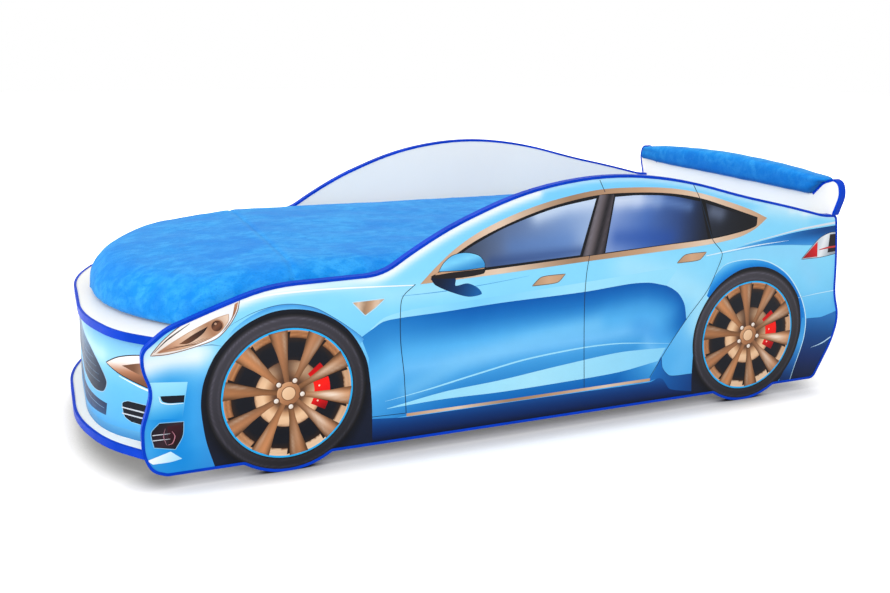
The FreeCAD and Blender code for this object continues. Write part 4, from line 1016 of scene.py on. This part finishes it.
def mesh_piece(name, points, faces):
    mesh = bpy.data.meshes.new(name)
    mesh.from_pydata(points, [], faces)
    mesh.update()
    piece = bpy.data.objects.new(name, mesh)
    bpy.context.scene.collection.objects.link(piece)
    return piece


def apply(piece, kind, **values):
    """Gives the piece a modifier of a kind, and applies it."""
    modifier = piece.modifiers.new(kind.title(), kind)
    for key, value in values.items():
        setattr(modifier, key, value)
    bpy.ops.object.select_all(action="DESELECT")
    piece.select_set(True)
    bpy.context.view_layer.objects.active = piece
    bpy.ops.object.modifier_apply(modifier=modifier.name)


def remesh(piece, voxel):
    apply(piece, "REMESH", mode="VOXEL", voxel_size=voxel)


def soften(piece, rounds):
    apply(piece, "SMOOTH", factor=0.5, iterations=rounds)


def round_off(piece):
    apply(piece, "SUBSURF", levels=1, render_levels=1)


def per_vertex(mesh, what="co"):
    found = np.empty(len(mesh.vertices) * 3)
    mesh.vertices.foreach_get(what, found)
    return found.reshape(-1, 3)


def set_co(mesh, co):
    mesh.vertices.foreach_set("co", np.asarray(co, float).ravel())
    mesh.update()


EVENING_ROUNDS = 24


def fill_cover(piece, settings, rest_level):
    """Fills a sewn cover: cloth under inner pressure, whose swell is capped and kept off what it rests on."""
    before = per_vertex(piece.data)
    cloth = piece.modifiers.new("Filling", "CLOTH")
    for key, value in (("use_pressure", True), ("uniform_pressure_force", settings.pressure),
                       ("tension_stiffness", 60), ("compression_stiffness", 60), ("bending_stiffness", 4),
                       ("quality", 4)):
        setattr(cloth.settings, key, value)
    cloth.settings.effector_weights.gravity = 0
    cloth.collision_settings.use_collision = False
    cloth.point_cache.frame_start = 1
    cloth.point_cache.frame_end = settings.steps
    scene = bpy.context.scene
    for step in range(1, settings.steps + 1):
        scene.frame_set(step)
    shown = piece.evaluated_get(bpy.context.evaluated_depsgraph_get())
    after = per_vertex(shown.to_mesh())
    shown.to_mesh_clear()
    piece.modifiers.remove(cloth)
    scene.frame_set(1)
    move = after - before
    size = np.linalg.norm(move, axis=1)
    move *= np.minimum(1, settings.swell / np.maximum(size, 1e-9))[:, None]
    ends = np.array([edge.vertices[:] for edge in piece.data.edges])
    share = np.bincount(ends.ravel(), minlength=len(before))[:, None] + 1
    for _ in range(EVENING_ROUNDS):
        total = move.copy()
        np.add.at(total, ends[:, 0], move[ends[:, 1]])
        np.add.at(total, ends[:, 1], move[ends[:, 0]])
        move = total / share
    filled = before + move
    filled[:, 2] = np.maximum(filled[:, 2], rest_level)
    set_co(piece.data, filled)


def snap(piece, form):
    """Lays the remeshed cover on the form it was made from, so no voxel steps stay."""
    apply(piece, "SHRINKWRAP", target=form, wrap_method="NEAREST_SURFACEPOINT")
    bpy.data.objects.remove(form)


def waves(points, lengths, seed):
    """Gentle, repeatable unevenness between -1 and 1 over places."""
    chance = np.random.default_rng(seed)
    total = np.zeros(len(points))
    for size in lengths:
        way = chance.normal(size=3)
        way /= np.linalg.norm(way)
        total += np.sin(points @ way * 2 * math.pi / size + chance.uniform(0, 6.28))
    return total / len(lengths)


# The cross seam, in metres: its place along the bed, depth and half width, and the low swells beside it
SEAM_X = (FRONT_AXLE[0] + 25) * MM
SEAM_DEPTH, SEAM_HALF = 0.0027, 0.0045
SEAM_SWELL, SWELL_PLACE, SWELL_HALF = 0.0006, 0.016, 0.01
# The cover starts this much inside its CAD solid, and its foot stays plain up to this height
COVER_INSET = 0.004
PLAIN_FOOT = 0.03


def mattress_piece(settings):
    """The fitted plush cover over its foam, with the cross seam and the loose ease of the fabric."""
    mesh = NODES["mattress"].data.copy()
    piece = bpy.data.objects.new("plush_mattress", mesh)
    bpy.context.scene.collection.objects.link(piece)
    mesh.materials.clear()
    low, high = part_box("mattress")
    co = per_vertex(mesh)
    middle = np.array((low + high) / 2)
    half = np.array((high - low) / 2)
    set_co(mesh, middle + (co - middle) * (1 - COVER_INSET / half))
    form = mesh_piece("mattress_form", [tuple(v.co) for v in mesh.vertices],
                      [p.vertices[:] for p in mesh.polygons])
    remesh(piece, settings.mattress_voxel)
    snap(piece, form)
    soften(piece, 8)
    fill_cover(piece, settings, low.z)
    soften(piece, 4)
    round_off(piece)
    co, normals = per_vertex(piece.data), per_vertex(piece.data, "normal")
    top = np.clip((co[:, 2] - low.z - PLAIN_FOOT) / 0.03, 0, 1)
    ease = waves(co, (0.31, 0.23, 0.17, 0.12), 7) * 0.0016 + waves(co, (0.07, 0.05, 0.09), 8) * 0.0005
    off = co[:, 0] - SEAM_X
    dip = -SEAM_DEPTH * np.exp(-(off / SEAM_HALF) ** 2)
    dip = dip + SEAM_SWELL * np.exp(-((np.abs(off) - SWELL_PLACE) / SWELL_HALF) ** 2)
    co = co + normals * ((ease + dip) * top)[:, None]
    co[:, 1] = np.clip(co[:, 1], low.y, high.y)
    co[:, 2] = np.maximum(co[:, 2], low.z)
    set_co(piece.data, co)
    return piece


# The spoiler's cover in millimetres: places across the bed are inward from the panels' outer faces
HALF_WIDE = 420.0
RECESS = 551.0
CROWN, END_RISE = 75.0, 50.0
CUSHION_TIP, EAR_END, EAR_FLAT = 20, 72, 22
EAR_LINE = [(38, 37), (52, 22), (EAR_END, 0)]
CUSHION_MIDDLE, CUSHION_HALF = 973.8, 31.0
# Where the right end hangs before its ear: its front, the ear's face and its foot above the recess
HUNG_FRONT, EAR_FACE, HUNG_FOOT = 944.0, 961.0, 2.5
RING_POINTS = 28


def cushion_ring(inward, side):
    """One closed section of the cover, square to the bed's width; the right end hangs before its ear."""
    across = HALF_WIDE - inward
    tip = HALF_WIDE - CUSHION_TIP
    rise = CROWN - END_RISE
    radius = (tip ** 2 + rise ** 2) / (2 * rise)
    high = RECESS + CROWN - radius + math.sqrt(radius ** 2 - min(across, tip) ** 2)
    low = RECESS + 0.5
    if inward < EAR_END:
        low = RECESS + 3.6 + float(np.interp(inward, *zip(*EAR_LINE)))
    share = min(1.0, (max(inward, CUSHION_TIP) - CUSHION_TIP + 8) / 45)
    deep = CUSHION_HALF * math.sin(share * math.pi / 2)
    middle = CUSHION_MIDDLE
    hung = side > 0 and inward < EAR_END
    if hung:
        back = EAR_FACE + 0.5 if inward < EAR_FLAT else middle + deep
        share = min(1.0, (EAR_END - inward) / 30)
        front = (middle - deep) * (1 - share) + HUNG_FRONT * share
        middle, deep = (front + back) / 2, (back - front) / 2
        high -= 16 * max(0, 1 - (inward - 4) / 12) ** 2
        if inward < EAR_FLAT:
            low = RECESS + HUNG_FOOT
    ring = []
    tall = high - low
    for n in range(RING_POINTS):
        angle = 2 * math.pi * n / RING_POINTS
        c, s = math.cos(angle), math.sin(angle)
        power = 0.55 if s > 0 else 0.34
        x = middle + deep * math.copysign(abs(c) ** power, c)
        z = low + tall / 2 + tall / 2 * math.copysign(abs(s) ** power, s)
        if hung and s < 0 and x < EAR_FACE:
            z -= (low - RECESS - HUNG_FOOT) * min(1.0, -s * 1.6) * min(1.0, (EAR_FACE - x) / 5)
        ring.append((x * MM, side * across * MM, z * MM))
    return ring


def cushion_piece(settings):
    """The padded arch on the rear board: plush pulled round foam, with gathered tips."""
    stations = [20.5, 22, 25, 30, 38, 46, 54, 62, 70, 80, 95, 115, 140] + list(range(165, 421, 28)) + [420]
    rings = [cushion_ring(s, 1) for s in [4, 8, 12, 16] + stations]
    rings += [cushion_ring(s, -1) for s in stations[-2::-1]]
    points = [p for ring in rings for p in ring]
    faces = []
    for row in range(0, len(points) - RING_POINTS, RING_POINTS):
        for n in range(RING_POINTS):
            a, b = row + n, row + (n + 1) % RING_POINTS
            faces.append((a, b, b + RING_POINTS, a + RING_POINTS))
    faces.append(tuple(range(RING_POINTS))[::-1])
    faces.append(tuple(range(len(points) - RING_POINTS, len(points))))
    piece = mesh_piece("plush_spoiler", points, faces)
    bm = bmesh.new()
    bm.from_mesh(piece.data)
    bmesh.ops.recalc_face_normals(bm, faces=bm.faces)
    bm.to_mesh(piece.data)
    bm.free()
    remesh(piece, settings.cushion_voxel)
    soften(piece, 3)
    fill_cover(piece, settings, (RECESS + 0.2) * MM)
    soften(piece, 2)
    round_off(piece)
    co, normals = per_vertex(piece.data), per_vertex(piece.data, "normal")
    ease = waves(co, (0.16, 0.1, 0.07), 21) * 0.0009
    end = np.clip((np.abs(co[:, 1]) - 0.30) / 0.1, 0, 1)
    round_it = np.arctan2(co[:, 2] - 0.59, co[:, 0] - CUSHION_MIDDLE * MM)
    folds = np.sin(round_it * 9) * 0.0009 * end
    set_co(piece.data, co + normals * (ease + folds)[:, None])
    return piece


def smooth_shaded(piece):
    for polygon in piece.data.polygons:
        polygon.use_smooth = True


# ------------------------------------------------------------------ operators

class Maker:
    """What the makers share in the sidebar."""
    bl_options = {"REGISTER"}


class CARBED_OT_boards(Maker, bpy.types.Operator):
    """White laminate on the side panels, shelves, crossboard and rear board"""
    bl_idname = "car_bed.boards"
    bl_label = "Finish the boards"

    def execute(self, context):
        settings = context.scene.car_bed_boards
        white = laminate_finish(settings)
        dress(["side_panel_left", "side_panel_right"], white)
        dress(["nose_fascia"], white)
        dress(["hood_shelf", "splitter_shelf", "front_crossboard", "rear_board"], white)
        return {"FINISHED"}


class CARBED_OT_edging(Maker, bpy.types.Operator):
    """Blue plastic on every length of edging"""
    bl_idname = "car_bed.edging"
    bl_label = "Finish the edging"

    def execute(self, context):
        dress([n for n in NODES if "edging" in n], edging_finish(context.scene.car_bed_boards))
        return {"FINISHED"}


class CARBED_OT_base(Maker, bpy.types.Operator):
    """Wood, plastic and zinc of the lath base and the fixings"""
    bl_idname = "car_bed.base"
    bl_label = "Finish the lath base"

    def execute(self, context):
        settings = context.scene.car_bed_boards
        birch = wood_finish("birch laths", tuple(settings.birch), (16, 1, 16), 6.0)
        pine = wood_finish("pine rails", tuple(settings.pine), (1, 16, 16), 5.0)
        dress([n for n in NODES if n.startswith("slat_") and "holders" not in n], birch)
        dress(["spoiler_core", "spoiler_dowels"], birch)
        dress(["side_rail_left", "side_rail_right"], pine)
        dress(["slat_holders_left", "slat_holders_right"], holder_finish(settings))
        dress(["corner_brackets", "bracket_screws", "rail_screws", "shelf_screws"], zinc_finish(settings))
        return {"FINISHED"}


class CARBED_OT_side_print(Maker, bpy.types.Operator):
    """Printed film on the outer face of both side panels"""
    bl_idname = "car_bed.side_print"
    bl_label = "Print the sides"

    def execute(self, context):
        settings = context.scene.car_bed_print
        film = film_finish(settings, "printed side film")
        for side in (-1, 1):
            for layers in side_films(side, settings):
                layers.finish(film, "bed_frame", "printed_board")
        return {"FINISHED"}


class CARBED_OT_nose_print(Maker, bpy.types.Operator):
    """Printed film on the bent nose sheet"""
    bl_idname = "car_bed.nose_print"
    bl_label = "Print the nose"

    def execute(self, context):
        settings = context.scene.car_bed_print
        nose_film(settings).finish(film_finish(settings, "printed nose film"), "bed_frame", "printed_sheet")
        return {"FINISHED"}


class CARBED_OT_mattress(Maker, bpy.types.Operator):
    """Plush mattress with its cross seam"""
    bl_idname = "car_bed.mattress"
    bl_label = "Make the mattress"

    def execute(self, context):
        settings = context.scene.car_bed_plush
        piece = mattress_piece(settings)
        smooth_shaded(piece)
        piece.data.materials.append(plush_finish(settings, "mattress plush", (0, 0, 0.5), 0.25))
        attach(piece, "mattress_body")
        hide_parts("mattress")
        return {"FINISHED"}


class CARBED_OT_spoiler(Maker, bpy.types.Operator):
    """Padded plush spoiler on the rear board"""
    bl_idname = "car_bed.spoiler"
    bl_label = "Make the spoiler"

    def execute(self, context):
        settings = context.scene.car_bed_plush
        piece = cushion_piece(settings)
        smooth_shaded(piece)
        piece.data.materials.append(plush_finish(settings, "spoiler plush", (0, 0, 1.3), 0.75))
        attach(piece, "spoiler")
        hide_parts("spoiler_cushion")
        return {"FINISHED"}


# The photograph's camera: frame and principal point in pixels, place in metres, turns in radians
PHOTO_WIDE, PHOTO_TALL = 890, 593
PRINCIPAL = (380, 205)
CAMERA_PLACE = (-1.0787, -2.2983, 0.9674)
YAW, PITCH, ROLL = 0.3622998, 0.1804820, 0.0127159
FLOOR_REACH = 14


def camera_on(settings):
    """Camera at the photograph's place; its turn is yaw to the right, pitch down and a little roll."""
    ahead = Vector((math.sin(YAW) * math.cos(PITCH), math.cos(YAW) * math.cos(PITCH), -math.sin(PITCH)))
    right = Vector((math.cos(YAW), -math.sin(YAW), 0))
    up = right.cross(ahead)
    right, up = (right * math.cos(ROLL) + up * math.sin(ROLL), up * math.cos(ROLL) - right * math.sin(ROLL))
    data = bpy.data.cameras.new("photograph")
    data.lens = settings.lens
    data.sensor_width = 36
    data.sensor_fit = "HORIZONTAL"
    data.shift_x = (PHOTO_WIDE / 2 - PRINCIPAL[0]) / PHOTO_WIDE
    data.shift_y = (PRINCIPAL[1] - PHOTO_TALL / 2) / PHOTO_WIDE
    data.clip_end = 60
    camera = bpy.data.objects.new("photograph", data)
    turn = Matrix((right, up, -ahead)).transposed().to_4x4()
    camera.matrix_world = Matrix.Translation(CAMERA_PLACE) @ turn
    bpy.context.scene.collection.objects.link(camera)
    bpy.context.scene.camera = camera


def lamp(name, place, aim, size, power):
    data = bpy.data.lights.new(name, "AREA")
    data.shape = "DISK"
    data.size = size
    data.energy = power
    found = bpy.data.objects.new(name, data)
    found.location = place
    found.rotation_euler = (Vector(aim) - Vector(place)).to_track_quat("-Z", "Y").to_euler()
    bpy.context.scene.collection.objects.link(found)


def floor_finish():
    """A white sweep: lit by the lamps, so it keeps their shadow, with a painted contact shadow near the bed, and
    lifted to paper white for the camera.
    """
    finish = Finish("studio floor")
    finish.rough(finish.noise(4.0, 2.0), 0.88, 0.96)
    finish.set(Specular_IOR_Level=0.05)
    path = finish.node("ShaderNodeLightPath")
    glow = finish.node("ShaderNodeEmission")
    seen = finish.sum(path.outputs["Is Camera Ray"], path.outputs["Is Glossy Ray"], "MAXIMUM")
    seen = finish.sum(seen, path.outputs["Is Transmission Ray"], "MAXIMUM")
    away = finish.node("ShaderNodeVectorMath", operation="LENGTH")
    squeeze = finish.node("ShaderNodeMapping")
    squeeze.inputs["Scale"].default_value = (0.5, 1, 1)
    finish.join(finish.place, squeeze.inputs["Vector"])
    finish.join(squeeze.outputs["Vector"], away.inputs[0])
    # Painted shade round the bed: the camera glow that lifts the floor to white is weak near the bed and full
    # further out
    level = finish.spread(away.outputs["Value"], 0.45, 1.5, 0.14, 1.0)
    # Painted contact shadow: ambient occlusion near the bed darkens the floor's colour and its glow
    near = finish.node("ShaderNodeAmbientOcclusion")
    near.inputs["Distance"].default_value = 0.09
    unshadowed = finish.sum(finish.spread(near.outputs["AO"], 0.28, 0.95), 1.1, "POWER")
    shaded = finish.mix(unshadowed, (0.02, 0.02, 0.024), (0.95, 0.95, 0.95))
    finish.colour(finish.mix(seen, (0.5, 0.5, 0.5), shaded))
    finish.join(finish.sum(finish.sum(seen, level, "MULTIPLY"), unshadowed, "MULTIPLY"), glow.inputs["Strength"])
    both = finish.node("ShaderNodeAddShader")
    finish.join(finish.shader.outputs["BSDF"], both.inputs[0])
    finish.join(glow.outputs["Emission"], both.inputs[1])
    finish.join(both.outputs["Shader"], finish.tree.nodes["Material Output"].inputs["Surface"])
    return finish.material


def surround(settings):
    world = bpy.data.worlds.new("studio")
    world.use_nodes = True
    tree = world.node_tree
    back = tree.nodes["Background"]
    back.inputs["Color"].default_value = (1, 1, 1, 1)
    path = tree.nodes.new("ShaderNodeLightPath")
    seen = tree.nodes.new("ShaderNodeMath")
    seen.operation = "MAXIMUM"
    tree.links.new(path.outputs["Is Camera Ray"], seen.inputs[0])
    tree.links.new(path.outputs["Is Transmission Ray"], seen.inputs[1])
    level = tree.nodes.new("ShaderNodeMapRange")
    level.inputs["To Min"].default_value = settings.sky
    level.inputs["To Max"].default_value = 1.0
    tree.links.new(seen.outputs[0], level.inputs["Value"])
    tree.links.new(level.outputs["Result"], back.inputs["Strength"])
    bpy.context.scene.world = world


class CARBED_OT_stage(Maker, bpy.types.Operator):
    """White floor, soft lamps and the camera"""
    bl_idname = "car_bed.stage"
    bl_label = "Set the stage"

    def execute(self, context):
        settings = context.scene.car_bed_stage
        camera_on(settings)
        corners = [(x * FLOOR_REACH, y * FLOOR_REACH, 0) for x, y in ((-1, -1), (1, -1), (1, 1), (-1, 1))]
        floor = mesh_piece("studio_floor", corners, [(0, 1, 2, 3)])
        floor.data.materials.append(floor_finish())
        lamp("key_lamp", (-1.6, -4.2, 3.0), (0, 0, 0.3), 2.6, settings.key)
        lamp("nose_lamp", (-9.5, -1.6, 3.6), (0, 0, 0.4), 3.6, settings.fill)
        surround(settings)
        context.scene.view_settings.view_transform = "Standard"
        return {"FINISHED"}


MAKERS = (CARBED_OT_boards, CARBED_OT_edging, CARBED_OT_base, CARBED_OT_side_print, CARBED_OT_nose_print,
          CARBED_OT_mattress, CARBED_OT_spoiler, CARBED_OT_stage)


class CARBED_PT_panel(bpy.types.Panel):
    """Makers of the car bed, with their sizes and colours"""
    bl_idname = "CARBED_PT_panel"
    bl_label = "Car bed"
    bl_space_type = "VIEW_3D"
    bl_region_type = "UI"
    bl_category = "Car bed"

    def draw(self, context):
        for maker in MAKERS:
            self.layout.operator(maker.bl_idname)
        for name, group in SETTINGS.items():
            box = self.layout.box()
            for key in group.__annotations__:
                box.prop(getattr(context.scene, name), key)


CLASSES = tuple(SETTINGS.values()) + MAKERS + (CARBED_PT_panel,)


def register():
    for item in CLASSES:
        bpy.utils.register_class(item)
    for name, group in SETTINGS.items():
        setattr(bpy.types.Scene, name, PointerProperty(type=group))


def unregister():
    for name in SETTINGS:
        delattr(bpy.types.Scene, name)
    for item in reversed(CLASSES):
        bpy.utils.unregister_class(item)


def main():
    register()
    for maker in MAKERS:
        family, name = maker.bl_idname.split(".")
        getattr(getattr(bpy.ops, family), name)()


if __name__ == "__main__":
    main()
